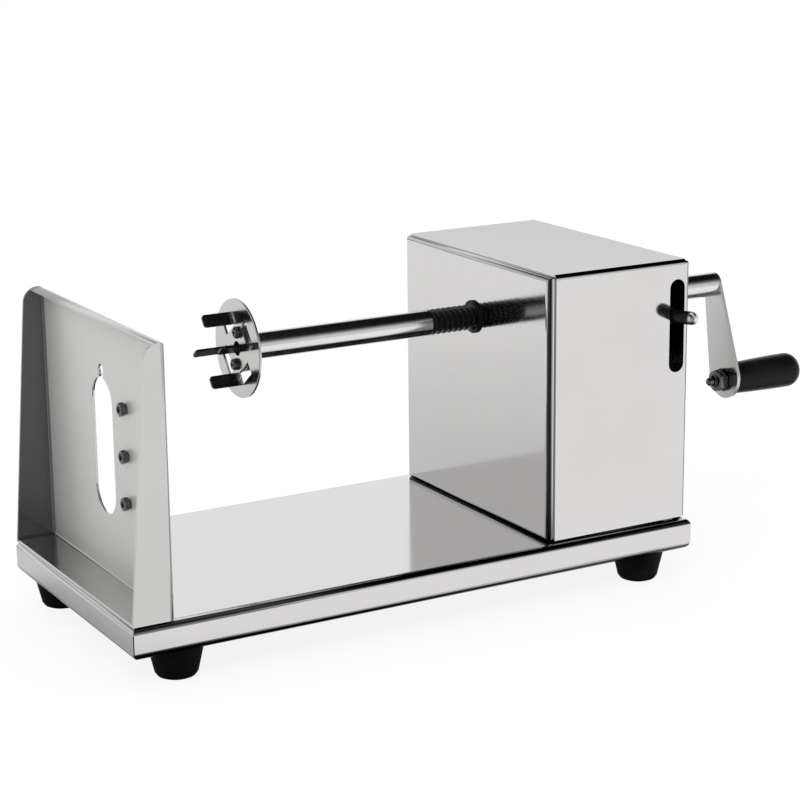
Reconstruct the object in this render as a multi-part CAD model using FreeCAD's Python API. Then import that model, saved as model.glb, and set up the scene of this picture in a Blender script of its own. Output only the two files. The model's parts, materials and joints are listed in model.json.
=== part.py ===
import FreeCAD, Part

import math
import os

# Tornado potato cutter: a folded steel base on four rubber feet, a slotted blade plate at its left
# end, and a box at its right end through which a hand crank drives a threaded shaft. A half nut on
# a sprung lever meets the thread from below, so that each turn feeds the potato by one slice.
#
# Layout frame, in millimetres: X runs along the base from its left edge to the crank, Y across it
# with the user's side at -Y, and Z up from the base's top surface. DATUM, worked out below, then
# moves everything so that the origin is on the table under the middle of the whole machine.

# ---------------------------------------------------------------- driving dimensions
# Base and feet. Each foot's inset is to its centre.
BASE_LENGTH = 291.6
BASE_WIDTH = 140.0
BASE_RIM = 15.2
BASE_SHEET = 1.2
BASE_BEND = 3.4
BASE_ROLL = 3.6
BASE_LIP = 7.0
SEAM_GAP = 0.5
FRONT_LEFT_FOOT_INSET = 25.5
FRONT_RIGHT_FOOT_INSET = 21.0
BACK_FOOT_INSET = 16.5
FOOT_INSET_Y = 14.5
FOOT_DROP = 15.0
FOOT_COLLAR = 1.0
FOOT_TOP_RADIUS = 12.8
FOOT_BOTTOM_RADIUS = 9.2
FOOT_ROUND = 2.2
FOOT_RECESS_RADIUS = 5.4
FOOT_RECESS_DEPTH = 9.0

# Drive line. Its height sets the box, the plate and the lever.
AXIS_Z = 96.5
SHAFT_RADIUS = 6.15
FIT = 0.05
HOLDER_STAND_OFF = 66.5
THREAD_BEFORE_BOX = 26.0
THREAD_PAST_BOX = 33.4
CRANK_PAST_BOX = 63.6
SPIGOT_RADIUS = 4.0
SPIGOT_LENGTH = 14.0
SKEWER_RADIUS = 3.4
SKEWER_DEPTH = 62.0
BUSH_FLANGE = 1.3
BUSH_FLANGE_RADIUS = 8.0
BUSH_CHAMFER = 0.4
BUSH_SLEEVE_RADIUS = 7.3
BUSH_INSIDE = 4.5
BUSH_NUT = 3.6
BUSH_NUT_ACROSS = 18.0
FEED_FORWARD = 36.0
COLLAR_THICKNESS = 4.0
COLLAR_RADIUS = 8.2
COLLAR_LIP = 1.2
COLLAR_SPLIT = 1.2
GROOVE_DEPTH = 0.8

# Blade plate and blade
PLATE_FACE_X = 20.0
PLATE_SIDE_STEP = 0.5
PLATE_ABOVE_AXIS = 24.5
PLATE_SHEET = 1.2
PLATE_BEND = 2.4
PLATE_FOOT_X = 0.4
PLATE_TOP_DEPTH = 9.8
PLATE_CORNER = 7.5
SLOT_HALF_WIDTH = 11.3
SLOT_TOP_DROP = 4.6
SLOT_LENGTH = 62.9
NOTCH_DROP = 1.2
NOTCH_RADIUS = 2.6
NECK_WIDTH = 4.2
SLICE = 3.0
BLADE_SHEET = 1.2
BLADE_FLAT_START = -36.0
BLADE_FLAT_END = -18.0
BLADE_EDGE = -4.0
BLADE_BEVEL = 3.5
BLADE_CORNER = 3.0
BLADE_TOP_DROP = 5.5
BLADE_BELOW_SLOT = 2.0
BLADE_SCREW_Y = -26.7
BLADE_SCREW_PITCH = 21.3
BLADE_SCREW_DROP = 34.5
BLADE_SCREW_TIP = 0.3
BLADE_NUT_BOSS = 0.8
BLADE_NUT_BOSS_RADIUS = 2.3
STUD_X = 10.0
STUD_INSET_Y = 31.5
STUD_LENGTH = 8.0
STUD_WASHER_MARGIN = 0.7

# Box at the crank end
BOX_LENGTH = 80.2
BOX_SIDE_STEP = 3.6
BOX_ABOVE_AXIS = 30.7
BOX_SHEET = 1.0
BOX_BEND = 3.0
COVER_SETBACK = 3.4
COVER_BEND = 2.6
COVER_LIFT = 0.8
WALL_FLANGE = 12.0
BOX_SCREW_INSET = 7.3
BOX_SCREW_INSET_Y = 30.4
LEVER_SLOT_INSET = 8.4
LEVER_SLOT_WIDTH = 8.5
LEVER_SLOT_BELOW = 23.3
LEVER_SLOT_ABOVE = 21.6
LEVER_SLOT_ROOM = 2.0

# Potato holder
HOLDER_SHEET = 1.2
HOLDER_RADIUS = 22.8
PRONG_COUNT = 4
PRONG_PHASE = 53.0
PRONG_LENGTH = 14.4
PRONG_WIDTH = 6.0
PRONG_CORNER = 1.5
PRONG_BEND = 1.9
WINDOW_RADIUS = 12.8
WINDOW_LENGTH = 12.2
HUB_RADIUS = 11.0
HUB_THICKNESS = 3.0
HUB_NECK = 2.0
HUB_NECK_LENGTH = 2.5
HUB_SCREW_RADIUS = 7.8
HUB_SCREW_PHASE = 100.0
HUB_SCREW_SHORT = 0.4

# Crank and grip
CRANK_SHEET = 1.8
CRANK_RADIUS = 47.4
CRANK_LEAN = 14.2
CRANK_EYE = 6.1
CRANK_END = 11.5
AXLE_BEYOND = 1.9
GRIP_GAP = 0.4
GRIP_LENGTH = 42.4
GRIP_START_RADIUS = 7.9
GRIP_SWELL_RADIUS = 8.8
GRIP_EDGE = 0.8
GRIP_END_ROUND = 6.6
AXLE_RADIUS = 4.0
AXLE_LENGTH = 34.0
AXLE_COLLAR = 1.6
AXLE_COLLAR_RADIUS = 6.5
AXLE_TIP = 10.6
AXLE_PILOT = 3.2
AXLE_PILOT_RADIUS = 2.1
AXLE_RING_INSET = 3.0
AXLE_RING_SHEET = 1.0
AXLE_GROOVE = 0.7

# Release lever, half nut and return spring
PIVOT_INSET_Y = 24.4
PIVOT_BELOW_AXIS = 7.3
LEVER_RISE = 5.8
LEVER_SHEET = 4.0
LEVER_EYE = 9.0
LEVER_CRADLE = 9.5
LEVER_TONGUE = 6.8
CRADLE_RISE = 6.0
CRADLE_OVERHANG = 1.0
CRADLE_ROOM = 2.2
PIN_OUT = 14.6
PIN_RADIUS = 3.2
PIN_LENGTH = 37.6
FORK_RADIUS = 5.0
FORK_LENGTH = 17.0
FORK_SLOT = 12.0
HALF_NUT_LENGTH = 14.0
HALF_NUT_HALF_WIDTH = 12.5
HALF_NUT_DEPTH = 16.0
HALF_NUT_GAP = 0.3
HALF_NUT_LIP = 1.3
HALF_NUT_ROUND = 1.5
NUT_SCREW_INSET = 3.5
NUT_SCREW_RISE = 4.0
NUT_SCREW_GRIP = 9.0
SPACER_WALL = 2.5
PIVOT_WASHER_MARGIN = 3.0
SPRING_INSET_Y = 32.4
SPRING_HOLE_DROP = 0.1
SPRING_HOLE_RADIUS = 1.8
SPRING_RADIUS = 3.6
SPRING_WIRE = 0.6
SPRING_TURNS = 5
SPRING_PITCH = 1.9
SPRING_HOOK = 3.6
SPRING_HOOK_SAG = 0.3
POST_RADIUS = 2.0
POST_WAIST = 0.5
POST_END = 3.0
POST_HEAD = 1.6
POST_HEAD_RISE = 1.5

# Standard fasteners: shank radius, head radius, head height, nut width across flats, nut height
M3 = {"shank": 1.5, "head": 2.8, "rise": 2.2, "across": 5.5, "nut": 2.4}
M4 = {"shank": 2.0, "head": 3.8, "rise": 2.6, "across": 7.0, "nut": 3.2}
M5 = {"shank": 2.5, "head": 4.6, "rise": 3.2, "across": 8.0, "nut": 4.0}
M6 = {"shank": 3.0, "head": 5.2, "rise": 4.0, "across": 10.0, "nut": 5.0}
HOLE_CLEARANCE = 0.2
WASHER_SHEET = 1.0
WASHER_MARGIN = 0.8
SCREW_TIP = 1.0
SIDE_PLAY = 0.2
THROUGH = 30.0

# ---------------------------------------------------------------- worked out from them
HALF_WIDTH = BASE_WIDTH / 2
FLOOR_Z = -(BASE_RIM + FOOT_DROP)
FOOT_SEAT = FLOOR_Z + FOOT_RECESS_DEPTH
PLATE_WIDTH = BASE_WIDTH - 2 * PLATE_SIDE_STEP
PLATE_HEIGHT = AXIS_Z + PLATE_ABOVE_AXIS
SLOT_TOP = AXIS_Z - SLOT_TOP_DROP
SLOT_BOTTOM = SLOT_TOP - SLOT_LENGTH
BLADE_LOW = SLOT_BOTTOM - BLADE_BELOW_SLOT
BLADE_HIGH = AXIS_Z - BLADE_TOP_DROP
STUD_Y = PLATE_WIDTH / 2 - STUD_INSET_Y
BOX_END = BASE_LENGTH
BOX_START = BOX_END - BOX_LENGTH
BOX_WIDTH = BASE_WIDTH - 2 * BOX_SIDE_STEP
BOX_HEIGHT = AXIS_Z + BOX_ABOVE_AXIS
BOX_SCREW_Y = BOX_WIDTH / 2 - BOX_SCREW_INSET_Y
WALL_INSIDE = BOX_END - BOX_SHEET
LEVER_SLOT_X = BOX_END - LEVER_SLOT_INSET
LEVER_SLOT_LOW = AXIS_Z - LEVER_SLOT_BELOW
LEVER_SLOT_HIGH = AXIS_Z + LEVER_SLOT_ABOVE
TUBE_START = PLATE_FACE_X + HOLDER_STAND_OFF
THREAD_START = BOX_START - THREAD_BEFORE_BOX
THREAD_END = BOX_END + THREAD_PAST_BOX
BUSH_FACE = BOX_END + BUSH_FLANGE
COLLAR_START = BUSH_FACE + FEED_FORWARD + SIDE_PLAY
LIP_START = COLLAR_START + (COLLAR_THICKNESS - COLLAR_LIP) / 2
CRANK_FACE_X = BOX_END + CRANK_PAST_BOX
GRIP_START = CRANK_FACE_X + CRANK_SHEET + AXLE_COLLAR + GRIP_GAP
GRIP_END = GRIP_START + GRIP_LENGTH
LEAN = math.radians(CRANK_LEAN)
ARM_END = (-CRANK_RADIUS * math.sin(LEAN), AXIS_Z - CRANK_RADIUS * math.cos(LEAN))
GRIP_Y = ARM_END[0] - AXLE_BEYOND * math.sin(LEAN)
GRIP_Z = ARM_END[1] - AXLE_BEYOND * math.cos(LEAN)
PIVOT_Y = BOX_WIDTH / 2 - PIVOT_INSET_Y
PIVOT_Z = AXIS_Z - PIVOT_BELOW_AXIS
SPRING_Y = SPRING_INSET_Y - BOX_WIDTH / 2
RISE = math.radians(LEVER_RISE)
FRONT_REACH = -(BOX_WIDTH / 2 + PIN_OUT)
LEVER_REACH = (PIVOT_Y - FRONT_REACH - PIN_RADIUS) / math.cos(RISE) + PIN_RADIUS
FORK_START = LEVER_REACH - PIN_LENGTH
LEVER_START = LEVER_SLOT_X - LEVER_SHEET / 2
LEVER_END = LEVER_SLOT_X + LEVER_SHEET / 2
DATUM = FreeCAD.Vector(-GRIP_END / 2, -(HALF_WIDTH + FRONT_REACH) / 2, -FLOOR_Z)
FOOT_PLACES = {
    "front_left": (FRONT_LEFT_FOOT_INSET, FOOT_INSET_Y - HALF_WIDTH),
    "front_right": (BASE_LENGTH - FRONT_RIGHT_FOOT_INSET, FOOT_INSET_Y - HALF_WIDTH),
    "back_left": (BACK_FOOT_INSET, HALF_WIDTH - FOOT_INSET_Y),
    "back_right": (BASE_LENGTH - BACK_FOOT_INSET, HALF_WIDTH - FOOT_INSET_Y),
}
BLADE_SCREW_HEIGHTS = [AXIS_Z - BLADE_SCREW_DROP + BLADE_SCREW_PITCH * step for step in (-1, 0, 1)]
BOX_SCREW_PLACES = [
    (x, y)
    for x in (BOX_START + BOX_SCREW_INSET, BOX_END - BOX_SCREW_INSET)
    for y in (-BOX_SCREW_Y, BOX_SCREW_Y)
]
STUD_PLACES = [(STUD_X, STUD_Y * step) for step in (-1, 0, 1)]

UP = FreeCAD.Vector(0, 0, 1)
DOWN = FreeCAD.Vector(0, 0, -1)
RIGHT = FreeCAD.Vector(1, 0, 0)
LEFT = FreeCAD.Vector(-1, 0, 0)
LEVER_LINE = FreeCAD.Vector(0, -math.cos(RISE), math.sin(RISE))


# ---------------------------------------------------------------- helpers
def point(x, y, z):
    return FreeCAD.Vector(x, y, z)


def block(x0, x1, y0, y1, z0, z1):
    """A box between two corners."""
    return Part.makeBox(x1 - x0, y1 - y0, z1 - z0, point(x0, y0, z0))


def rod(start, direction, length, radius):
    """A cylinder from a start point."""
    return Part.makeCylinder(radius, length, start, direction)


def along_x(x0, x1, radius, y=0.0, z=AXIS_Z):
    """A cylinder parallel to X, on the drive axis unless told otherwise."""
    return rod(point(x0, y, z), RIGHT, x1 - x0, radius)


def turned(profile, start, direction):
    """A solid of revolution from (radius, height) points, set up at start along direction."""
    points = [point(radius, 0, height) for radius, height in profile]
    face = Part.Face(Part.makePolygon(points + points[:1]))
    solid = face.revolve(point(0, 0, 0), UP, 360)
    solid.Placement = FreeCAD.Placement(start, FreeCAD.Rotation(UP, direction))
    return solid


def ring(start, direction, outer, inner, thickness):
    """A flat washer."""
    return turned([(inner, 0), (outer, 0), (outer, thickness), (inner, thickness)], start, direction)


def rounded(shape, radius, chosen):
    """The shape with a fillet on every edge that the test picks."""
    return shape.makeFillet(radius, [edge for edge in shape.Edges if chosen(edge)])


def lies_at(edge, axis, value):
    """True when the whole edge lies in the plane where one coordinate has this value."""
    box = edge.BoundBox
    low, high = {"x": (box.XMin, box.XMax), "y": (box.YMin, box.YMax), "z": (box.ZMin, box.ZMax)}[axis]
    return abs(low - value) < 1e-4 and abs(high - value) < 1e-4


def joined(shapes):
    """Shapes fused into one, with leftover seams taken off."""
    first, rest = shapes[0], shapes[1:]
    return first.fuse(rest).removeSplitter() if rest else first


def group(shapes):
    """Separate identical solids kept together in one node."""
    return Part.makeCompound(shapes)


def hexagon(start, direction, across, height, bore):
    """A hexagon nut with chamfered corners."""
    corner = across / math.sqrt(3)
    ring_points = [
        point(corner * math.cos(math.radians(60 * k)), corner * math.sin(math.radians(60 * k)), 0)
        for k in range(6)
    ]
    prism = Part.Face(Part.makePolygon(ring_points + ring_points[:1])).extrude(UP * height)
    flat, fall = across / 2, (corner - across / 2) / 2
    dome = [(0, 0), (flat, 0), (corner, fall), (corner, height - fall), (flat, height), (0, height)]
    nut = prism.common(turned(dome, point(0, 0, 0), UP))
    if bore:
        nut = nut.cut(rod(point(0, 0, -1), UP, height + 2, bore))
    nut.Placement = FreeCAD.Placement(start, FreeCAD.Rotation(UP, direction))
    return nut


def pan_screw(start, direction, size, length):
    """A pan head screw. start is under its head, and the shank runs along direction."""
    head, rise, shank = size["head"], size["rise"], size["shank"]
    profile = [
        (0, -rise), (0.6 * head, -rise), (0.9 * head, -0.75 * rise), (head, -0.4 * rise), (head, 0),
        (shank, 0), (shank, length - 0.5), (shank - 0.5, length), (0, length),
    ]
    return turned(profile, start, direction)


def plain_nut(start, direction, size):
    return hexagon(start, direction, size["across"], size["nut"], size["shank"])


def tapered_link(start, start_radius, end, end_radius, x0, thickness):
    """A flat bar in a plane across X: two round ends joined by their common tangents."""
    dy, dz = end[0] - start[0], end[1] - start[1]
    span = math.hypot(dy, dz)
    heading = math.atan2(dz, dy)
    spread = math.acos((start_radius - end_radius) / span)
    corners = []
    for centre, radius, sides in ((start, start_radius, (1, -1)), (end, end_radius, (-1, 1))):
        for side in sides:
            angle = heading + side * spread
            corners.append(point(x0, centre[0] + radius * math.cos(angle), centre[1] + radius * math.sin(angle)))
    middle = Part.Face(Part.makePolygon(corners + corners[:1])).extrude(RIGHT * thickness)
    ends = [
        along_x(x0, x0 + thickness, radius, centre[0], centre[1])
        for centre, radius in ((start, start_radius), (end, end_radius))
    ]
    return joined([middle] + ends)


def on_lever(distance):
    """The (y, z) of a point on the lever's centre line, at a distance from its pivot."""
    return PIVOT_Y + distance * LEVER_LINE.y, PIVOT_Z + distance * LEVER_LINE.z


# ---------------------------------------------------------------- base and feet
def base_pan():
    """A tray turned upside down: top sheet, four rims with rolled lower edges, and open corner seams."""
    outer = block(0, BASE_LENGTH, -HALF_WIDTH, HALF_WIDTH, -BASE_RIM, 0)
    outer = rounded(outer, BASE_BEND, lambda edge: lies_at(edge, "z", 0))
    outer = rounded(outer, BASE_ROLL, lambda edge: lies_at(edge, "z", -BASE_RIM))
    t = BASE_SHEET
    inner = block(t, BASE_LENGTH - t, t - HALF_WIDTH, HALF_WIDTH - t, t - BASE_RIM, -t)
    inner = rounded(inner, BASE_BEND - t, lambda edge: lies_at(edge, "z", -t))
    inner = rounded(inner, BASE_ROLL - t, lambda edge: lies_at(edge, "z", t - BASE_RIM))
    mouth = block(
        BASE_LIP, BASE_LENGTH - BASE_LIP, BASE_LIP - HALF_WIDTH, HALF_WIDTH - BASE_LIP, -BASE_RIM - 1, -BASE_RIM / 2
    )
    pan = outer.cut([inner, mouth])
    reach = 2 * BASE_LIP
    for x, y in ((0, -HALF_WIDTH), (BASE_LENGTH, -HALF_WIDTH), (0, HALF_WIDTH), (BASE_LENGTH, HALF_WIDTH)):
        slit = block(-reach, reach, -SEAM_GAP / 2, SEAM_GAP / 2, -BASE_RIM - 1, -BASE_BEND)
        slit.rotate(point(0, 0, 0), UP, 45 if (x == 0) == (y < 0) else -45)
        slit.translate(point(x, y, 0))
        pan = pan.cut(slit)
    clear = M4["shank"] + HOLE_CLEARANCE
    holes = [rod(point(x, y, -THROUGH / 2), UP, THROUGH, clear) for x, y in BOX_SCREW_PLACES + STUD_PLACES]
    notch = FOOT_TOP_RADIUS + HOLE_CLEARANCE
    holes += [rod(point(x, y, -t), DOWN, BASE_RIM, notch) for x, y in FOOT_PLACES.values()]
    return pan.cut(holes)


def foot(x, y):
    """A tapered rubber foot with a screw recess below and a pocket for the weld nut above."""
    top, low = -BASE_SHEET, FLOOR_Z
    hole = M5["shank"] + HOLE_CLEARANCE
    pocket_floor = top - M5["nut"] - HOLE_CLEARANCE
    pocket = M5["across"] / math.sqrt(3) + HOLE_CLEARANCE
    taper_start = -BASE_RIM + FOOT_COLLAR
    soft = FOOT_ROUND
    profile = [
        (pocket, top), (pocket, pocket_floor), (hole, pocket_floor), (hole, FOOT_SEAT),
        (FOOT_RECESS_RADIUS, FOOT_SEAT), (FOOT_RECESS_RADIUS, low), (FOOT_BOTTOM_RADIUS - soft, low),
        (FOOT_BOTTOM_RADIUS - 0.3 * soft, low + 0.3 * soft), (FOOT_BOTTOM_RADIUS + 0.2 * soft, low + soft),
        (FOOT_TOP_RADIUS, taper_start), (FOOT_TOP_RADIUS, top),
    ]
    return turned(profile, point(x, y, 0), UP)


# ---------------------------------------------------------------- blade plate and blade
def plate_outline():
    """The side view of the blade plate's flanges, with its rounded top corner, as a wire in XZ."""
    top, low = PLATE_HEIGHT, 0.0
    lean = (PLATE_FACE_X - PLATE_TOP_DEPTH - PLATE_FOOT_X) / (top - low)
    corner = point(PLATE_FOOT_X + lean * (top - low), 0, top)
    down = point(-lean, 0, -1).normalize()
    half_turn = math.acos(down.dot(RIGHT)) / 2
    reach = PLATE_CORNER / math.tan(half_turn)
    arc_start, arc_end = corner + down * reach, corner + RIGHT * reach
    bisector = (down + RIGHT).normalize()
    arc_mid = corner + bisector * (PLATE_CORNER / math.sin(half_turn) - PLATE_CORNER)
    edges = [
        Part.LineSegment(point(PLATE_FACE_X, 0, low), point(PLATE_FACE_X, 0, top)).toShape(),
        Part.LineSegment(point(PLATE_FACE_X, 0, top), arc_end).toShape(),
        Part.Arc(arc_end, arc_mid, arc_start).toShape(),
        Part.LineSegment(arc_start, point(PLATE_FOOT_X, 0, low)).toShape(),
        Part.LineSegment(point(PLATE_FOOT_X, 0, low), point(PLATE_FACE_X, 0, low)).toShape(),
    ]
    return Part.Wire(edges)


def slice_slot():
    """The keyhole through the plate: a long round-ended slot, and above its neck the skewer's hole."""
    x0, depth = PLATE_FACE_X - THROUGH / 2, THROUGH
    low, high = SLOT_BOTTOM + SLOT_HALF_WIDTH, SLOT_TOP - SLOT_HALF_WIDTH
    stadium = tapered_link((0, low), SLOT_HALF_WIDTH, (0, high), SLOT_HALF_WIDTH, x0, depth)
    notch_z = AXIS_Z - NOTCH_DROP
    neck = block(x0, x0 + depth, -NECK_WIDTH / 2, NECK_WIDTH / 2, high, notch_z)
    return joined([stadium, neck, along_x(x0, x0 + depth, NOTCH_RADIUS, 0, notch_z)])


def blade_plate():
    """One folded sheet: the upright face with a narrow top flange, tapered sides and a foot flange."""
    half, t = PLATE_WIDTH / 2, PLATE_SHEET
    solid = Part.Face(plate_outline()).extrude(point(0, PLATE_WIDTH, 0))
    solid.translate(point(0, -half, 0))
    solid = rounded(solid, PLATE_BEND, lambda edge: lies_at(edge, "x", PLATE_FACE_X))
    hollow = block(-1, PLATE_FACE_X - t, t - half, half - t, t, PLATE_HEIGHT - t)
    hollow = rounded(hollow, PLATE_BEND - t, lambda edge: lies_at(edge, "x", PLATE_FACE_X - t))
    plate = solid.cut(hollow).cut(slice_slot())
    clear = M3["shank"] + HOLE_CLEARANCE
    x0 = PLATE_FACE_X - THROUGH / 2
    holes = [along_x(x0, x0 + THROUGH, clear, BLADE_SCREW_Y, z) for z in BLADE_SCREW_HEIGHTS]
    return plate.cut(holes)


def blade():
    """A strip screwed flat to the plate, then bent away so that its ground edge stands off by one slice."""
    x0, t = PLATE_FACE_X, BLADE_SHEET
    lift = x0 + SLICE
    slope = math.atan2(SLICE, BLADE_EDGE - BLADE_FLAT_END)
    half_turn = t * math.tan(slope / 2)
    section = [
        (x0, BLADE_FLAT_START), (x0, BLADE_FLAT_END), (lift, BLADE_EDGE),
        (lift + t - BLADE_BEVEL * math.tan(slope), BLADE_EDGE - BLADE_BEVEL),
        (x0 + t, BLADE_FLAT_END - half_turn), (x0 + t, BLADE_FLAT_START),
    ]
    points = [point(x, y, BLADE_LOW) for x, y in section]
    strip = Part.Face(Part.makePolygon(points + points[:1])).extrude(UP * (BLADE_HIGH - BLADE_LOW))

    def back_corner(edge):
        box = edge.BoundBox
        return box.ZLength < 1e-6 and abs(box.YMax - BLADE_FLAT_START) < 1e-4 and box.XLength > 0.5

    strip = rounded(strip, BLADE_CORNER, back_corner)
    shank, head = M3["shank"], M3["head"]
    sink = [(0, 0), (head, 0), (shank, BLADE_SHEET), (0, BLADE_SHEET)]
    return strip.cut([turned(sink, point(x0 + t, BLADE_SCREW_Y, z), LEFT) for z in BLADE_SCREW_HEIGHTS])


def blade_screws():
    """Countersunk screws, flush with the blade's outside, so that the potato passes over them."""
    shank, head, sink = M3["shank"], M3["head"], BLADE_SHEET
    length = BLADE_SHEET + PLATE_SHEET + BLADE_NUT_BOSS + M3["nut"] + BLADE_SCREW_TIP
    profile = [(0, 0), (head, 0), (shank, sink), (shank, length - 0.4), (shank - 0.4, length), (0, length)]
    start = PLATE_FACE_X + BLADE_SHEET
    return group([turned(profile, point(start, BLADE_SCREW_Y, z), LEFT) for z in BLADE_SCREW_HEIGHTS])


def blade_nuts():
    """Nuts that stand on a small round boss, clear of the plate's brushed face."""
    face = PLATE_FACE_X - PLATE_SHEET
    nuts = []
    for z in BLADE_SCREW_HEIGHTS:
        boss = ring(point(face, BLADE_SCREW_Y, z), LEFT, BLADE_NUT_BOSS_RADIUS, M3["shank"], BLADE_NUT_BOSS)
        nuts.append(joined([boss, plain_nut(point(face - BLADE_NUT_BOSS, BLADE_SCREW_Y, z), LEFT, M3)]))
    return group(nuts)


def plate_studs():
    """Studs welded under the plate's foot flange, through the base."""
    return group([rod(point(x, y, 0), DOWN, STUD_LENGTH, M4["shank"]) for x, y in STUD_PLACES])


def plate_washers():
    outer = M4["head"] + STUD_WASHER_MARGIN
    return group([
        ring(point(x, y, -BASE_SHEET), DOWN, outer, M4["shank"], WASHER_SHEET) for x, y in STUD_PLACES
    ])


def plate_nuts():
    return group([plain_nut(point(x, y, -BASE_SHEET - WASHER_SHEET), DOWN, M4) for x, y in STUD_PLACES])


# ---------------------------------------------------------------- box
def end_wall(face, inward):
    """A folded end wall: flanges all round turn inward from its outside face."""
    half, t = BOX_WIDTH / 2 - BOX_SHEET, BOX_SHEET
    top = BOX_HEIGHT - BOX_SHEET
    far = face + inward * WALL_FLANGE
    inside = face + inward * t
    past = far + inward
    outer = block(min(face, far), max(face, far), -half, half, 0, top)
    outer = rounded(outer, BOX_BEND, lambda edge: lies_at(edge, "x", face))
    hollow = block(min(inside, past), max(inside, past), t - half, half - t, t, top - t)
    hollow = rounded(hollow, BOX_BEND - t, lambda edge: lies_at(edge, "x", inside))
    sleeve = block(min(face, past) - 1, max(face, past) + 1, -half, half, -1, top)
    sleeve = rounded(
        sleeve, COVER_BEND - t, lambda edge: lies_at(edge, "z", top) and edge.BoundBox.YLength < 1
    )
    wall = outer.cut(hollow).common(sleeve)
    step = face + inward * COVER_SETBACK
    for side in (-1, 1):
        y0, y1 = sorted((side * (half - BOX_BEND), side * (half + 1)))
        wall = wall.cut(block(min(step, past), max(step, past), y0, y1, -1, COVER_LIFT))
    clear = M4["shank"] + HOLE_CLEARANCE
    screw_x = face + inward * BOX_SCREW_INSET
    holes = [rod(point(screw_x, y, -1), UP, 3, clear) for y in (-BOX_SCREW_Y, BOX_SCREW_Y)]
    holes.append(along_x(face - 3, face + 3, BUSH_SLEEVE_RADIUS))
    return wall.cut(holes)


def right_wall():
    """The crank side: also holds the lever's pivot bolt and the spring post, and clears the lever slot."""
    half, room = BOX_WIDTH / 2, LEVER_SLOT_ROOM
    x0, x1 = BOX_END - WALL_FLANGE - 1, LEVER_SLOT_X + LEVER_SLOT_WIDTH / 2 + room / 4
    low, high = LEVER_SLOT_LOW - room, LEVER_SLOT_HIGH + room
    relief = block(x0, x1, -half - 1, BOX_BEND + room / 2 - half, low, high)
    holes = [
        along_x(BOX_END - 3, BOX_END + 3, M6["shank"], PIVOT_Y, PIVOT_Z),
        along_x(BOX_END - 3, BOX_END + 3, POST_RADIUS, SPRING_Y, spring_post_z()),
    ]
    return end_wall(BOX_END, -1).cut([relief] + holes)


def box_cover():
    """One sheet bent over the end walls' flanges: front, top and back, with the lever slot in front."""
    half, t = BOX_WIDTH / 2, BOX_SHEET
    x0, x1 = BOX_START + COVER_SETBACK, BOX_END - COVER_SETBACK
    outer = block(x0, x1, -half, half, COVER_LIFT, BOX_HEIGHT)
    outer = rounded(outer, COVER_BEND, lambda edge: lies_at(edge, "z", BOX_HEIGHT) and edge.BoundBox.YLength < 1)
    inner = block(x0 - 1, x1 + 1, t - half, half - t, -1, BOX_HEIGHT - t)
    inner = rounded(
        inner, COVER_BEND - t, lambda edge: lies_at(edge, "z", BOX_HEIGHT - t) and edge.BoundBox.YLength < 1
    )
    radius = LEVER_SLOT_WIDTH / 2
    low, high = LEVER_SLOT_LOW + radius, LEVER_SLOT_HIGH - radius
    ends = [rod(point(LEVER_SLOT_X, -half - 2, z), point(0, 1, 0), 5, radius) for z in (low, high)]
    middle = block(LEVER_SLOT_X - radius, LEVER_SLOT_X + radius, -half - 2, 3 - half, low, high)
    return outer.cut(inner).cut(joined([middle] + ends))


def box_screws():
    length = BASE_SHEET + BOX_SHEET + M4["nut"] + SCREW_TIP
    return group([pan_screw(point(x, y, -BASE_SHEET), UP, M4, length) for x, y in BOX_SCREW_PLACES])


def box_nuts():
    return group([plain_nut(point(x, y, BOX_SHEET), UP, M4) for x, y in BOX_SCREW_PLACES])


def bush(face, outward):
    """A flanged bush: its collar bears on the outside of the wall."""
    inner, sleeve, collar = SHAFT_RADIUS + FIT, BUSH_SLEEVE_RADIUS, BUSH_FLANGE_RADIUS
    back = -(BOX_SHEET + BUSH_INSIDE)
    profile = [
        (inner, back), (sleeve, back), (sleeve, 0), (collar, 0), (collar, BUSH_FLANGE - BUSH_CHAMFER),
        (collar - BUSH_CHAMFER, BUSH_FLANGE), (inner, BUSH_FLANGE),
    ]
    return turned(profile, point(face, 0, AXIS_Z), outward)


def bush_nut(inside, inward):
    return hexagon(point(inside, 0, AXIS_Z), inward, BUSH_NUT_ACROSS, BUSH_NUT, BUSH_SLEEVE_RADIUS)


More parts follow.
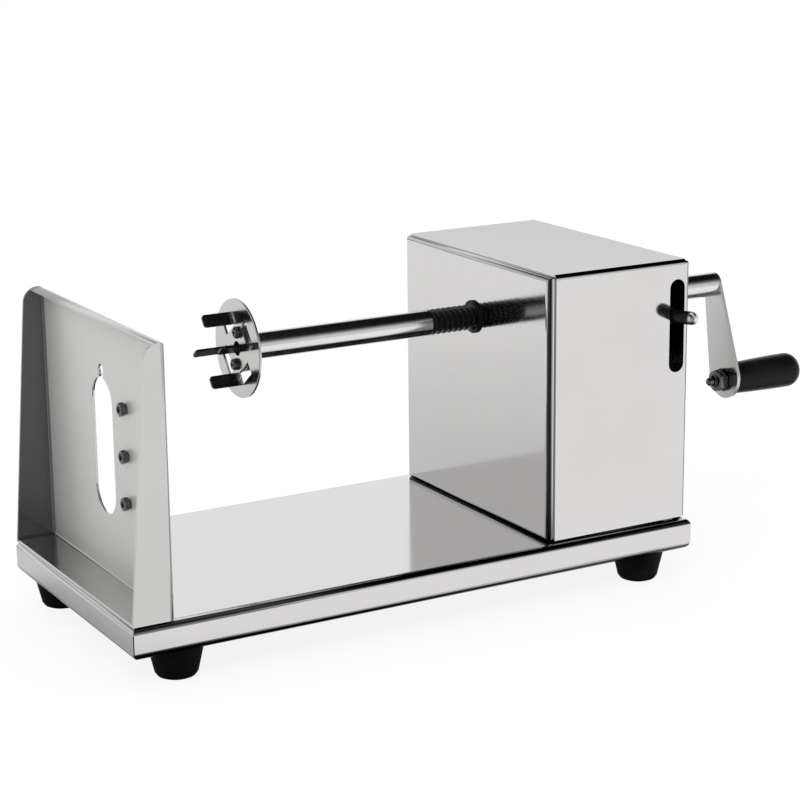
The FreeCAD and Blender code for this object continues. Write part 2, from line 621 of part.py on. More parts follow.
# ---------------------------------------------------------------- shaft and holder
def holder_disc():
    """A disc whose four prongs are cut from its windows and bent forward at one end of each."""
    x0, t = TUBE_START - HOLDER_SHEET, HOLDER_SHEET
    disc = along_x(x0, x0 + t, HOLDER_RADIUS)
    half, wide, bend = WINDOW_LENGTH / 2, PRONG_WIDTH / 2, PRONG_BEND
    window = block(x0 - 1, x0 + t + 1, WINDOW_RADIUS - wide, WINDOW_RADIUS + wide, -half, half - t)
    tip = x0 + t - bend - PRONG_LENGTH
    prong = block(tip, x0 + t - bend, WINDOW_RADIUS - wide, WINDOW_RADIUS + wide, half - t, half)
    prong = rounded(prong, PRONG_CORNER, lambda edge: lies_at(edge, "x", tip) and edge.BoundBox.ZLength > 0.5)
    elbow = rod(point(x0 + t - bend, WINDOW_RADIUS - wide, half - t + bend), point(0, 1, 0), PRONG_WIDTH, bend)
    elbow = elbow.cut(rod(point(x0 + t - bend, WINDOW_RADIUS - wide - 1, half - t + bend), point(0, 1, 0),
                          PRONG_WIDTH + 2, bend - t))
    corner = block(x0 + t - bend, x0 + t, WINDOW_RADIUS - wide, WINDOW_RADIUS + wide, half - t, half - t + bend)
    elbow = elbow.common(corner)
    window = joined([window, corner])
    for shape in (window, prong, elbow):
        shape.translate(point(0, 0, AXIS_Z))
    pieces, cuts = [], []
    for k in range(PRONG_COUNT):
        angle = PRONG_PHASE + 360 * k / PRONG_COUNT
        for shape, keep in ((window, cuts), (prong, pieces), (elbow, pieces)):
            turned_copy = shape.copy()
            turned_copy.rotate(point(0, 0, AXIS_Z), RIGHT, angle)
            keep.append(turned_copy)
    cuts.append(along_x(x0 - 1, x0 + t + 1, SKEWER_RADIUS))
    cuts += [along_x(x0 - 1, x0 + t + 1, M3["shank"] + HOLE_CLEARANCE, y, z) for y, z in hub_screw_places()]
    return joined([disc.cut(cuts)] + pieces)


def hub_screw_places():
    """The (y, z) of the two screws that hold the disc on the hub."""
    turns = [math.radians(HUB_SCREW_PHASE + 180 * k) for k in range(2)]
    return [(HUB_SCREW_RADIUS * math.cos(a), AXIS_Z + HUB_SCREW_RADIUS * math.sin(a)) for a in turns]


def holder_hub():
    """The flange on the tube's end that the disc is screwed to, with a fillet behind it."""
    t, out, neck, far = HUB_THICKNESS, HUB_RADIUS, SHAFT_RADIUS + HUB_NECK, HUB_THICKNESS + HUB_NECK_LENGTH
    profile = [
        (SHAFT_RADIUS, 0), (out, 0), (out, t - 0.4), (out - 0.4, t), (neck, t),
        (neck - HUB_NECK / 2, far), (SHAFT_RADIUS, far),
    ]
    hub = turned(profile, point(TUBE_START, 0, AXIS_Z), RIGHT)
    start, end = TUBE_START - 1, TUBE_START + far + 1
    return hub.cut([along_x(start, end, M3["shank"], y, z) for y, z in hub_screw_places()])


def holder_screws():
    start, length = TUBE_START - HOLDER_SHEET, HOLDER_SHEET + HUB_THICKNESS - HUB_SCREW_SHORT
    return group([pan_screw(point(start, y, z), RIGHT, M3, length) for y, z in hub_screw_places()])


def front_tube():
    """The bright tube that carries the holder, bored for the skewer in front and for the spigot behind."""
    body = along_x(TUBE_START, THREAD_START, SHAFT_RADIUS)
    skewer = along_x(TUBE_START - 1, TUBE_START + SKEWER_DEPTH, SKEWER_RADIUS)
    socket = along_x(THREAD_START - SPIGOT_LENGTH, THREAD_START + 1, SPIGOT_RADIUS)
    return body.cut([skewer, socket])


def lead_screw():
    """The threaded middle of the shaft, at its outside diameter, with a spigot at each end."""
    body = along_x(THREAD_START, THREAD_END, SHAFT_RADIUS)
    spigots = along_x(THREAD_START - SPIGOT_LENGTH, THREAD_END + SPIGOT_LENGTH, SPIGOT_RADIUS)
    return joined([body, spigots])


def crank_journal():
    """The bright right-hand end of the shaft: grooved for the collar, stepped down to pass the crank arm."""
    end = CRANK_FACE_X + CRANK_SHEET
    body = joined([along_x(THREAD_END, CRANK_FACE_X, SHAFT_RADIUS), along_x(CRANK_FACE_X - 1, end, SPIGOT_RADIUS)])
    socket = along_x(THREAD_END - 1, THREAD_END + SPIGOT_LENGTH, SPIGOT_RADIUS)
    slack = SIDE_PLAY / 2
    x0, x1 = LIP_START - slack, LIP_START + COLLAR_LIP + slack
    groove = along_x(x0, x1, SHAFT_RADIUS + 1).cut(along_x(x0 - 1, x1 + 1, SHAFT_RADIUS - GROOVE_DEPTH))
    return body.cut([socket, groove])


def stop_collar():
    """A split nylon collar. Its lip sits in the shaft's groove, and the bush stops it when the feed is done."""
    lip = LIP_START - COLLAR_START
    bore, neck = SHAFT_RADIUS + FIT, SHAFT_RADIUS - GROOVE_DEPTH + 2 * FIT
    outer, far, half_split = COLLAR_RADIUS, COLLAR_THICKNESS, COLLAR_SPLIT / 2
    profile = [
        (bore, 0), (outer - 0.5, 0), (outer, 0.5), (outer, far - 0.5), (outer - 0.5, far), (bore, far),
        (bore, lip + COLLAR_LIP), (neck, lip + COLLAR_LIP), (neck, lip), (bore, lip),
    ]
    collar = turned(profile, point(COLLAR_START, 0, AXIS_Z), RIGHT)
    split = block(COLLAR_START - 1, COLLAR_START + far + 1, -half_split, half_split, AXIS_Z, AXIS_Z + outer + 1)
    return collar.cut(split)


# ---------------------------------------------------------------- crank and grip
def crank_arm():
    """A tapered flat arm with two round ends, bored for the shaft and for the grip's axle."""
    arm = tapered_link((0, AXIS_Z), CRANK_EYE, ARM_END, CRANK_END, CRANK_FACE_X, CRANK_SHEET)
    x0, x1 = CRANK_FACE_X - 1, CRANK_FACE_X + CRANK_SHEET + 1
    return arm.cut([along_x(x0, x1, SPIGOT_RADIUS), along_x(x0, x1, M6["shank"], GRIP_Y, GRIP_Z)])


def grip_axle():
    """A shoulder stud: its thread goes through the arm to the nut, and its smooth end carries the grip."""
    thread, collar = M6["shank"], AXLE_COLLAR_RADIUS
    face = AXLE_TIP + CRANK_SHEET
    ring_at = face + AXLE_COLLAR + AXLE_LENGTH - AXLE_RING_INSET
    end = face + AXLE_COLLAR + AXLE_LENGTH
    groove, pilot = AXLE_RADIUS - AXLE_GROOVE, AXLE_PILOT_RADIUS
    profile = [
        (0, 0), (pilot - 0.8, 0), (pilot, 0.8), (pilot, AXLE_PILOT), (thread, AXLE_PILOT + 0.4),
        (thread, face), (collar, face), (collar, face + AXLE_COLLAR), (AXLE_RADIUS, face + AXLE_COLLAR),
        (AXLE_RADIUS, ring_at), (groove, ring_at), (groove, ring_at + AXLE_RING_SHEET),
        (AXLE_RADIUS, ring_at + AXLE_RING_SHEET), (AXLE_RADIUS, end - 0.6), (AXLE_RADIUS - 0.6, end), (0, end),
    ]
    return turned(profile, point(CRANK_FACE_X - AXLE_TIP, GRIP_Y, GRIP_Z), RIGHT)


def axle_ring():
    """The snap ring inside the grip that keeps it on its axle."""
    start = CRANK_FACE_X + CRANK_SHEET + AXLE_COLLAR + AXLE_LENGTH - AXLE_RING_INSET
    return ring(
        point(start, GRIP_Y, GRIP_Z), RIGHT, AXLE_RADIUS + 0.9, AXLE_RADIUS - AXLE_GROOVE, AXLE_RING_SHEET
    )


def grip_washer():
    start = point(CRANK_FACE_X, GRIP_Y, GRIP_Z)
    return ring(start, LEFT, M6["head"] + WASHER_MARGIN, M6["shank"], WASHER_SHEET)


def grip_nut():
    return plain_nut(point(CRANK_FACE_X - WASHER_SHEET, GRIP_Y, GRIP_Z), LEFT, M6)


def grip():
    """A hand grip that swells towards its rounded end and turns freely on the axle."""
    bore, room = AXLE_RADIUS + FIT, AXLE_RADIUS + 1.3
    ring_at = AXLE_LENGTH - GRIP_GAP - AXLE_RING_INSET
    depth = AXLE_LENGTH + 1.0
    slim, thick, edge_round = GRIP_START_RADIUS, GRIP_SWELL_RADIUS, GRIP_END_ROUND
    crown = GRIP_LENGTH - edge_round
    corner = thick - edge_round
    inside = [
        (corner, GRIP_LENGTH), (0, GRIP_LENGTH), (0, depth), (bore, depth), (bore, ring_at + 1.4),
        (room, ring_at + 1.4), (room, ring_at - 0.4), (bore, ring_at - 0.4), (bore, 0), (slim - GRIP_EDGE, 0),
        (slim, GRIP_EDGE),
    ]
    steps = 4
    swell = Part.makePolygon([
        point(slim + (thick - slim) * math.sin(math.pi / 2 * k / steps), 0, GRIP_EDGE + (crown - GRIP_EDGE) * k / steps)
        for k in range(steps + 1)
    ])
    diagonal = edge_round * math.sqrt(0.5)
    dome = Part.Arc(
        point(thick, 0, crown), point(corner + diagonal, 0, crown + diagonal), point(corner, 0, GRIP_LENGTH)
    )
    outline = Part.makePolygon([point(radius, 0, height) for radius, height in inside]).Edges
    shape = Part.Face(Part.Wire(outline + swell.Edges + [dome.toShape()])).revolve(point(0, 0, 0), UP, 360)
    shape.Placement = FreeCAD.Placement(point(GRIP_START, GRIP_Y, GRIP_Z), FreeCAD.Rotation(UP, RIGHT))
    return shape


# ---------------------------------------------------------------- release lever
def half_nut_floor():
    return AXIS_Z - HALF_NUT_DEPTH


def half_nut_screw_places():
    """The (y, z) of the two screws that hold the half nut on the lever."""
    return [(side * (HALF_NUT_HALF_WIDTH - NUT_SCREW_INSET), half_nut_floor() + NUT_SCREW_RISE) for side in (-1, 1)]


def spring_hole_z():
    """The height of the spring's hole in the lever, near the lever's upper edge."""
    return on_lever((PIVOT_Y - SPRING_Y) / math.cos(RISE))[1] - SPRING_HOLE_DROP


def spring_post_z():
    """The height of the post that the spring hangs from."""
    inset = SPRING_HOOK - SPRING_WIRE
    return spring_low() + SPRING_TURNS * SPRING_PITCH + 2 * inset - POST_RADIUS + POST_WAIST


def spring_low():
    """The height where the spring's wound body starts."""
    return spring_hole_z() - SPRING_HOOK_SAG + 2 * SPRING_HOOK - SPRING_WIRE


def lever_arm():
    """A flat lever that dips under the shaft: pivot eye, cradle for the half nut, and front tongue."""
    cradle_z = half_nut_floor() + CRADLE_RISE
    reach = HALF_NUT_HALF_WIDTH + CRADLE_OVERHANG
    tongue = on_lever(FORK_START + FORK_RADIUS)
    x0, t = LEVER_START, LEVER_SHEET
    arm = joined([
        tapered_link((PIVOT_Y, PIVOT_Z), LEVER_EYE, (reach, cradle_z), LEVER_CRADLE, x0, t),
        tapered_link((reach, cradle_z), LEVER_CRADLE, (-reach, cradle_z), LEVER_CRADLE, x0, t),
        tapered_link((-reach, cradle_z), LEVER_CRADLE, tongue, LEVER_TONGUE, x0, t),
    ])
    cuts = [
        along_x(x0 - 1, x0 + t + 1, SHAFT_RADIUS + CRADLE_ROOM),
        along_x(x0 - 1, x0 + t + 1, M6["shank"] + FIT, PIVOT_Y, PIVOT_Z),
        along_x(x0 - 1, x0 + t + 1, SPRING_HOLE_RADIUS, SPRING_Y, spring_hole_z()),
        along_x(x0 - 1, x0 + t + 1, M3["shank"], *on_lever(FORK_START + FORK_RADIUS)),
    ]
    cuts += [along_x(x0 - 1, x0 + t + 1, M4["shank"] + HOLE_CLEARANCE, y, z) for y, z in half_nut_screw_places()]
    return arm.cut(cuts)


def half_nut():
    """The bronze block under the shaft: the lower half of a nut, with a round trough for the thread."""
    x0, x1 = LEVER_START - HALF_NUT_LENGTH, LEVER_START
    body = block(x0, x1, -HALF_NUT_HALF_WIDTH, HALF_NUT_HALF_WIDTH, half_nut_floor(), AXIS_Z - HALF_NUT_LIP)
    body = rounded(body, HALF_NUT_ROUND, lambda edge: edge.BoundBox.XLength > 1)
    cuts = [along_x(x0 - 1, x1 + 1, SHAFT_RADIUS + HALF_NUT_GAP)]
    cuts += [along_x(x1 - NUT_SCREW_GRIP - 1, x1 + 1, M4["shank"], y, z) for y, z in half_nut_screw_places()]
    return body.cut(cuts)


def half_nut_screws():
    length = LEVER_SHEET + NUT_SCREW_GRIP
    return group([pan_screw(point(LEVER_END, y, z), LEFT, M4, length) for y, z in half_nut_screw_places()])


def release_pin():
    """The round handle pin with its domed end. Its wider forked end straddles the lever's tongue."""
    y0, z0 = on_lever(FORK_START)
    start = point(LEVER_SLOT_X, y0, z0)
    long, full = FORK_LENGTH, PIN_LENGTH
    neck = full - PIN_RADIUS
    profile = [
        (0, 0), (FORK_RADIUS, 0), (FORK_RADIUS, long - 1), (FORK_RADIUS - 1, long), (PIN_RADIUS, long),
        (PIN_RADIUS, neck), (0, neck),
    ]
    dome = Part.makeSphere(PIN_RADIUS, start + LEVER_LINE * neck)
    pin = joined([turned(profile, start, LEVER_LINE), dome])
    half = LEVER_SHEET / 2
    slot = block(LEVER_SLOT_X - half, LEVER_SLOT_X + half, -FORK_SLOT, 1, -2 * FORK_RADIUS, 2 * FORK_RADIUS)
    slot.rotate(point(0, 0, 0), RIGHT, -LEVER_RISE)
    slot.translate(point(0, y0, z0))
    y, z = on_lever(FORK_START + FORK_RADIUS)
    return pin.cut([slot, along_x(LEVER_SLOT_X - THROUGH, LEVER_SLOT_X + THROUGH, M3["shank"], y, z)])


def fork_rivet():
    """The cross rivet that holds the pin's fork on the lever."""
    y, z = on_lever(FORK_START + FORK_RADIUS)
    out = FORK_RADIUS + 0.2
    return along_x(LEVER_SLOT_X - out, LEVER_SLOT_X + out, M3["shank"], y, z)


def pivot_bolt():
    """The bolt that the lever turns on, with its head outside the right wall."""
    length = BOX_END - LEVER_START + WASHER_SHEET + SIDE_PLAY + M6["nut"] + SCREW_TIP
    shank = along_x(BOX_END - length, BOX_END, M6["shank"], PIVOT_Y, PIVOT_Z)
    head = hexagon(point(BOX_END, PIVOT_Y, PIVOT_Z), RIGHT, M6["across"], M6["rise"], 0)
    return joined([shank, head])


def pivot_spacer():
    start, end = LEVER_END + SIDE_PLAY, WALL_INSIDE
    return ring(point(start, PIVOT_Y, PIVOT_Z), RIGHT, M6["shank"] + SPACER_WALL, M6["shank"], end - start)


def pivot_nut():
    """The lock nut and washer face that keep the lever on its bolt."""
    start = LEVER_START - SIDE_PLAY
    washer = ring(point(start, PIVOT_Y, PIVOT_Z), LEFT, M6["shank"] + PIVOT_WASHER_MARGIN, M6["shank"], WASHER_SHEET)
    nut = plain_nut(point(start - WASHER_SHEET, PIVOT_Y, PIVOT_Z), LEFT, M6)
    return joined([washer, nut])


def spring_post():
    """A riveted post on the right wall, grooved where the spring's upper hook sits."""
    z, head, rise = spring_post_z(), POST_RADIUS + POST_HEAD, POST_HEAD_RISE
    start, end = LEVER_SLOT_X - POST_END, BOX_END
    length = end - start
    waist = POST_RADIUS - POST_WAIST
    mid = LEVER_SLOT_X - start
    profile = [
        (0, 0), (POST_RADIUS, 0), (POST_RADIUS, mid - 1), (waist, mid - 1), (waist, mid + 1),
        (POST_RADIUS, mid + 1), (POST_RADIUS, length), (head, length), (head * 0.7, length + rise), (0, length + rise),
    ]
    return turned(profile, point(start, SPRING_Y, z), RIGHT)


def return_spring():
    """The tension spring that lifts the lever: its wound body as a plain round, and a hook ring at each end."""
    low, inset, wire = spring_low(), SPRING_HOOK - SPRING_WIRE, SPRING_WIRE
    height = SPRING_TURNS * SPRING_PITCH
    foot_point = point(LEVER_SLOT_X, SPRING_Y, low)
    body = rod(foot_point, UP, height, SPRING_RADIUS + wire)
    hooks = [
        ring(foot_point + UP * rise - facing * wire, facing, SPRING_HOOK + wire, SPRING_HOOK - wire, 2 * wire)
        for rise, facing in ((-inset, point(0, 1, 0)), (height + inset, RIGHT))
    ]
    return joined([body] + hooks)


# ---------------------------------------------------------------- foot fasteners
def foot_washers():
    size = FOOT_RECESS_RADIUS - HOLE_CLEARANCE
    return group([
        ring(point(x, y, FOOT_SEAT), DOWN, size, M5["shank"], WASHER_SHEET) for x, y in FOOT_PLACES.values()
    ])


def foot_screws():
    under_head = FOOT_SEAT - WASHER_SHEET
    length = -BASE_SHEET - SIDE_PLAY - under_head
    return group([pan_screw(point(x, y, under_head), UP, M5, length) for x, y in FOOT_PLACES.values()])


def foot_weld_nuts():
    return group([plain_nut(point(x, y, -BASE_SHEET), DOWN, M5) for x, y in FOOT_PLACES.values()])


# ---------------------------------------------------------------- assembly
NODES = {
    "base_pan": base_pan(),
    "foot_washers": foot_washers(),
    "foot_screws": foot_screws(),
    "foot_weld_nuts": foot_weld_nuts(),
    "blade_plate": blade_plate(),
    "plate_studs": plate_studs(),
    "plate_washers": plate_washers(),
    "plate_nuts": plate_nuts(),
    "blade": blade(),
    "blade_screws": blade_screws(),
    "blade_nuts": blade_nuts(),
    "box_cover": box_cover(),
    "left_wall": end_wall(BOX_START, 1),
    "right_wall": right_wall(),
    "left_bush": bush(BOX_START, LEFT),
    "right_bush": bush(BOX_END, RIGHT),
    "left_bush_nut": bush_nut(BOX_START + BOX_SHEET, RIGHT),
    "right_bush_nut": bush_nut(WALL_INSIDE, LEFT),
    "box_screws": box_screws(),
    "box_nuts": box_nuts(),
    "pivot_bolt": pivot_bolt(),
    "pivot_spacer": pivot_spacer(),
    "pivot_nut": pivot_nut(),
    "spring_post": spring_post(),
    "return_spring": return_spring(),
    "lever_arm": lever_arm(),
    "release_pin": release_pin(),
    "fork_rivet": fork_rivet(),
    "half_nut": half_nut(),
    "half_nut_screws": half_nut_screws(),
    "stop_collar": stop_collar(),
    "front_tube": front_tube(),
    "lead_screw": lead_screw(),
    "crank_journal": crank_journal(),
    "holder_disc": holder_disc(),
    "holder_hub": holder_hub(),
    "holder_screws": holder_screws(),
    "crank_arm": crank_arm(),
    "grip_axle": grip_axle(),
    "grip_washer": grip_washer(),
    "grip_nut": grip_nut(),
    "axle_ring": axle_ring(),
    "grip": grip(),
}
NODES.update({f"foot_{name}": foot(x, y) for name, (x, y) in FOOT_PLACES.items()})

os.makedirs("parts", exist_ok=True)
for node, shape in NODES.items():
    shape.translate(DATUM)
    shape.exportStep(f"parts/{node}.step")
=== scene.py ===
# %% [markdown]
# # A hand-cranked tornado potato cutter in stainless sheet
#
# A threaded shaft runs through a folded steel box. Turning the crank pushes a potato, held on a
# pronged disc, against a blade behind the slotted plate, and the potato leaves as one long spiral.
# The machine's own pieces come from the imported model. This lesson lights them, gives each its
# finish, and models what a catalogue would show close up: the thread, the moulded grip, the
# screws and nuts, and the return spring.

import json
import math

import bpy
from mathutils import Matrix, Vector

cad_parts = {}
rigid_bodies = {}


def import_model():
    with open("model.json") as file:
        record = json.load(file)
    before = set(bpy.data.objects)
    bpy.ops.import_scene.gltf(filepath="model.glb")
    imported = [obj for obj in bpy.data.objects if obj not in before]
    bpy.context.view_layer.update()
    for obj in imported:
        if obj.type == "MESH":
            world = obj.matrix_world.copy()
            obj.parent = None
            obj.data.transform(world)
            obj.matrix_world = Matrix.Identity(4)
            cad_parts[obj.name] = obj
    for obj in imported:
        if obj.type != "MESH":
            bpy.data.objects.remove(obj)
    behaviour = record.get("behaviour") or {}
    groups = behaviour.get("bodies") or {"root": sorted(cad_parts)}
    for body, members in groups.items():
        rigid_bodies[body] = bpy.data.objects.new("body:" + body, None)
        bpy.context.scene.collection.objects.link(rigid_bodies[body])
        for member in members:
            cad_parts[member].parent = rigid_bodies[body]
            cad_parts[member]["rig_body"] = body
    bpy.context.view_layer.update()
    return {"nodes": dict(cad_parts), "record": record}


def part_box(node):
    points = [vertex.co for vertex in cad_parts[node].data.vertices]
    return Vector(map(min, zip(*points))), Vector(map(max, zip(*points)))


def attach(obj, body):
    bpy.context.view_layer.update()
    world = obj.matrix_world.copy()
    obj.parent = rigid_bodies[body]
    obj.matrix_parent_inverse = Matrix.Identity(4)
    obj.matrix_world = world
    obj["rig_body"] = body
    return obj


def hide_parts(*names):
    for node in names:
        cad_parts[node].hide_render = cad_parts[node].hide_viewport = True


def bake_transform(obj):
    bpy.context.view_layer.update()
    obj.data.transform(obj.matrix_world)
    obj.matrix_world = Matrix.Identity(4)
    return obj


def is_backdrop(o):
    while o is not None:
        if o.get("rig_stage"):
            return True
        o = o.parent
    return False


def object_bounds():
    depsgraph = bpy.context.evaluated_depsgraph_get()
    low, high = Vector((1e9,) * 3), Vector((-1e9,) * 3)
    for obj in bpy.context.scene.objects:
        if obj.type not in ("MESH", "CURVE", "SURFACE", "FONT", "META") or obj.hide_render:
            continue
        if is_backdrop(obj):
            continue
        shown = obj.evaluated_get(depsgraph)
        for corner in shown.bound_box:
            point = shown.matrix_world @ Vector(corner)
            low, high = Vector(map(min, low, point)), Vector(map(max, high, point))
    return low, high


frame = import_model()
nodes = frame["nodes"]
bpy.ops.object.select_all(action="DESELECT")
MM = 0.001

# %% [markdown]
# ## The camera
#
# A long lens from the front left, a little above the shaft. A camera can be aimed with a
# constraint, but here its three axes are worked out from two angles and a small roll, so that
# nothing in the file depends on an evaluation order.

# %% Aim a long lens
CAMERA_PLACE = Vector((-530.655, -870.107, 350.444)) * MM
CAMERA_YAW = 0.519
CAMERA_PITCH = 0.252
CAMERA_ROLL = -0.011
LENS = 98.29
SENSOR = 36
FAR_CLIP = 60
UP = Vector((0, 0, 1))

ahead = Vector(
    (
        math.sin(CAMERA_YAW) * math.cos(CAMERA_PITCH),
        math.cos(CAMERA_YAW) * math.cos(CAMERA_PITCH),
        -math.sin(CAMERA_PITCH),
    )
)
lens_right = ahead.cross(UP).normalized()
lens_up = lens_right.cross(ahead)
lens_right, lens_up = (
    lens_right * math.cos(CAMERA_ROLL) + lens_up * math.sin(CAMERA_ROLL),
    lens_up * math.cos(CAMERA_ROLL) - lens_right * math.sin(CAMERA_ROLL),
)
axes = Matrix((lens_right, lens_up, -ahead)).transposed().to_4x4()
camera_data = bpy.data.cameras.new("camera")
camera_data.lens = LENS
camera_data.sensor_width = SENSOR
camera_data.clip_end = FAR_CLIP
camera = bpy.data.objects.new("camera", camera_data)
bpy.context.scene.collection.objects.link(camera)
camera.matrix_world = Matrix.Translation(CAMERA_PLACE) @ axes
bpy.context.scene.camera = camera
print("camera looks along", [round(v, 3) for v in ahead])

# %% [markdown]
# ## Sums in the shader editor
#
# Finishes here are mostly sums: a noise times a small number, added to a roughness. Wiring a Math
# node for every sign is slow to read, so a small class wraps one output socket and lets Python's
# own signs make those nodes. Its `node` method makes any other kind.


# %% A socket that can be added and multiplied
class Wire:
    """One output of a shader node."""

    def __init__(self, tree, socket):
        self.tree = tree
        self.socket = socket

    def node(self, kind, settings=None, inputs=None, output=0):
        """A new node of any kind, with its settings, and its inputs wired or set."""
        made = self.tree.nodes.new(kind)
        for name, value in (settings or {}).items():
            setattr(made, name, value)
        for name, value in (inputs or {}).items():
            if isinstance(value, Wire):
                self.tree.links.new(value.socket, made.inputs[name])
            else:
                made.inputs[name].default_value = value
        return Wire(self.tree, made.outputs[output])

    def sum(self, operation, first, second=0.0):
        """A Math node in the same tree."""
        return self.node("ShaderNodeMath", {"operation": operation}, {0: first, 1: second})

    def __add__(self, other):
        return self.sum("ADD", self, other)

    __radd__ = __add__

    def __sub__(self, other):
        return self.sum("SUBTRACT", self, other)

    def __rsub__(self, other):
        return self.sum("SUBTRACT", other, self)

    def __mul__(self, other):
        return self.sum("MULTIPLY", self, other)

    __rmul__ = __mul__

    def unsigned(self):
        """This value without its sign."""
        return self.sum("ABSOLUTE", self)

    def clipped(self, low, high):
        """This value, held between two others."""
        return self.sum("MINIMUM", self.sum("MAXIMUM", self, low), high)

    def ramped(self, low, high, start=0.0, end=1.0):
        """A smooth step from start, at low, to end, at high."""
        return self.node(
            "ShaderNodeMapRange",
            {"interpolation_type": "SMOOTHSTEP"},
            {0: self, 1: low, 2: high, 3: start, 4: end},
        )

    def vector(self, operation, other=(0, 0, 0), output=0):
        """A Vector Math node on this vector. Output 1 is for operations that give a number."""
        inputs = {0: self, 1: other}
        return self.node("ShaderNodeVectorMath", {"operation": operation}, inputs, output)

    def stretched(self, scale):
        """This vector with each of its parts multiplied."""
        return self.vector("MULTIPLY", scale)

    def part(self, axis):
        """One of this vector's three parts."""
        return self.node("ShaderNodeSeparateXYZ", {}, {0: self}, axis)

    def noise(self, scale, detail=2.0, roughness=0.5):
        """Smooth noise on this vector, from about 0 to 1."""
        inputs = {"Vector": self, "Scale": scale, "Detail": detail, "Roughness": roughness}
        return self.node("ShaderNodeTexNoise", {}, inputs)

    def mixed(self, first, second):
        """A blend of two colours by this value."""
        first, second = (c if isinstance(c, Wire) else (*c, 1) for c in (first, second))
        inputs = {0: self, 6: first, 7: second}
        return self.node("ShaderNodeMix", {"data_type": "RGBA"}, inputs, 2)

    def into(self, socket):
        """Wires this output to an input of a node that is already there."""
        self.tree.links.new(self.socket, socket)


def rays(tree):
    """Wires that are 1 for a ray of the camera, and 1 for a mirrored or refracted ray."""
    path = tree.nodes.new("ShaderNodeLightPath")
    seen = Wire(tree, path.outputs["Is Camera Ray"])
    glossy = Wire(tree, path.outputs["Is Glossy Ray"])
    refracted = Wire(tree, path.outputs["Is Transmission Ray"])
    return seen, (glossy + refracted).clipped(0.0, 1.0)


print("a Wire stands for one socket")

# %% [markdown]
# ## The studio
#
# Polished steel shows the room more than itself. A product studio for it is white all round, with
# a black panel over each side and a grey gap behind the lens: flat faces mirror the white walls,
# and tubes and bends pick up dark lines. The panels end sharply behind the machine and softly in
# front of it, so a tube goes from black to white through grey. The walls are a little greyer near
# the horizon, and toward the back left. A picture of a room could light the scene as well, but a
# sum of directions needs no file. The world gives that room to reflections only: the camera sees
# white, and everything else gets a plain even light.

# %% Where a ray goes in the room
LEVEL = (1, 1, 0)
TOWARD_LENS = Vector((-ahead.x, -ahead.y, 0)).normalized()
GAP_EDGE = math.cos(math.radians(50))
GAP_FULL = math.cos(math.radians(34))
GAP_GREY = 0.32


def leaning(direction, way):
    """1 for a ray whose level part runs along a way, 0 across it, -1 against it."""
    level = direction.stretched(LEVEL).vector("NORMALIZE")
    return level.vector("DOT_PRODUCT", way, output=1)


def lens_gap(direction):
    """What is left of the light in the grey gap behind the lens, and 1 outside it."""
    return leaning(direction, TOWARD_LENS).ramped(GAP_EDGE, GAP_FULL, 1.0, GAP_GREY)


print("the gap behind the lens is", GAP_GREY, "as bright as the walls")

# %% The room: white walls, black panels overhead, a grey gap behind the lens
PANEL_SLIT = 0.15
PANEL_SOLID = 0.40
PANEL_BACK_STARTS = 0.40
PANEL_BACK_FULL = 0.66
PANEL_FRONT_STARTS = 0.02
PANEL_FRONT_FULL = 0.76
FRONT_PURE = -0.35
FRONT_ENDS = -0.05
BACK_LEFT = Vector((-ahead.x, ahead.y, 0)).normalized()
BACK_LEFT_EDGE = 0.70
BACK_LEFT_FULL = 0.97
BACK_LEFT_SHARE = 0.74
HORIZON_GREY = 0.72
HORIZON_LOW = 0.14
HORIZON_HIGH = 0.29
EVEN_LIGHT = 0.86

world = bpy.data.worlds.new("studio")
bpy.context.scene.world = world
world.use_nodes = True
tree = world.node_tree
tree.nodes.clear()
direction = Wire(tree, tree.nodes.new("ShaderNodeTexCoord").outputs["Generated"])
across, depth, height = (direction.part(axis) for axis in range(3))
before = depth.ramped(FRONT_PURE, FRONT_ENDS, 1.0, 0.0)
panel_back = height.ramped(PANEL_BACK_STARTS, PANEL_BACK_FULL)
panel_front = height.ramped(PANEL_FRONT_STARTS, PANEL_FRONT_FULL)
sideways = across.unsigned().ramped(PANEL_SLIT, PANEL_SOLID)
panel = sideways * (before * panel_front + (1 - before) * panel_back)
leaning_back_left = leaning(direction, BACK_LEFT)
back_left = leaning_back_left.ramped(BACK_LEFT_EDGE, BACK_LEFT_FULL, 1.0, BACK_LEFT_SHARE)
horizon = height.ramped(HORIZON_LOW, HORIZON_HIGH, HORIZON_GREY, 1.0)
room = (1 - panel) * horizon * back_left * lens_gap(direction)
seen, mirrored = rays(tree)
strength = seen + (1 - seen) * (mirrored * room + (1 - mirrored) * EVEN_LIGHT)
white = {"Color": (1, 1, 1, 1), "Strength": strength}
sky = strength.node("ShaderNodeBackground", {}, white)
sky.into(tree.nodes.new("ShaderNodeOutputWorld").inputs["Surface"])
panel_angle = math.degrees(math.asin(PANEL_BACK_STARTS))
print("behind, the panels start at", round(panel_angle), "degrees up")

# %% [markdown]
# ## Floor and lamp
#
# The floor is white to the camera, with a little of its lit surface mixed in, so that the feet
# keep a soft shadow. In reflections it is grey close round the base and behind the machine, where
# the machine keeps the light off it, dark straight below, and has the same gap towards the lens.
# One large soft lamp, high at the front left, shapes the black pieces. It isn't mirrored itself,
# because a square of light in the sheet would hide the brushing.

# %% How bright the floor is in reflections
UNDER_EDGE = 0.45
UNDER_REACH = 0.05
FRONT_NEAR = -0.05
BEHIND_NEAR = 0.05
BEHIND_FAR = 0.70
BEHIND_DARK = 0.70
BEHIND_LIGHT = 0.95
STEEP = -0.92
SLANTING = -0.55
STEEP_DARK = 0.03


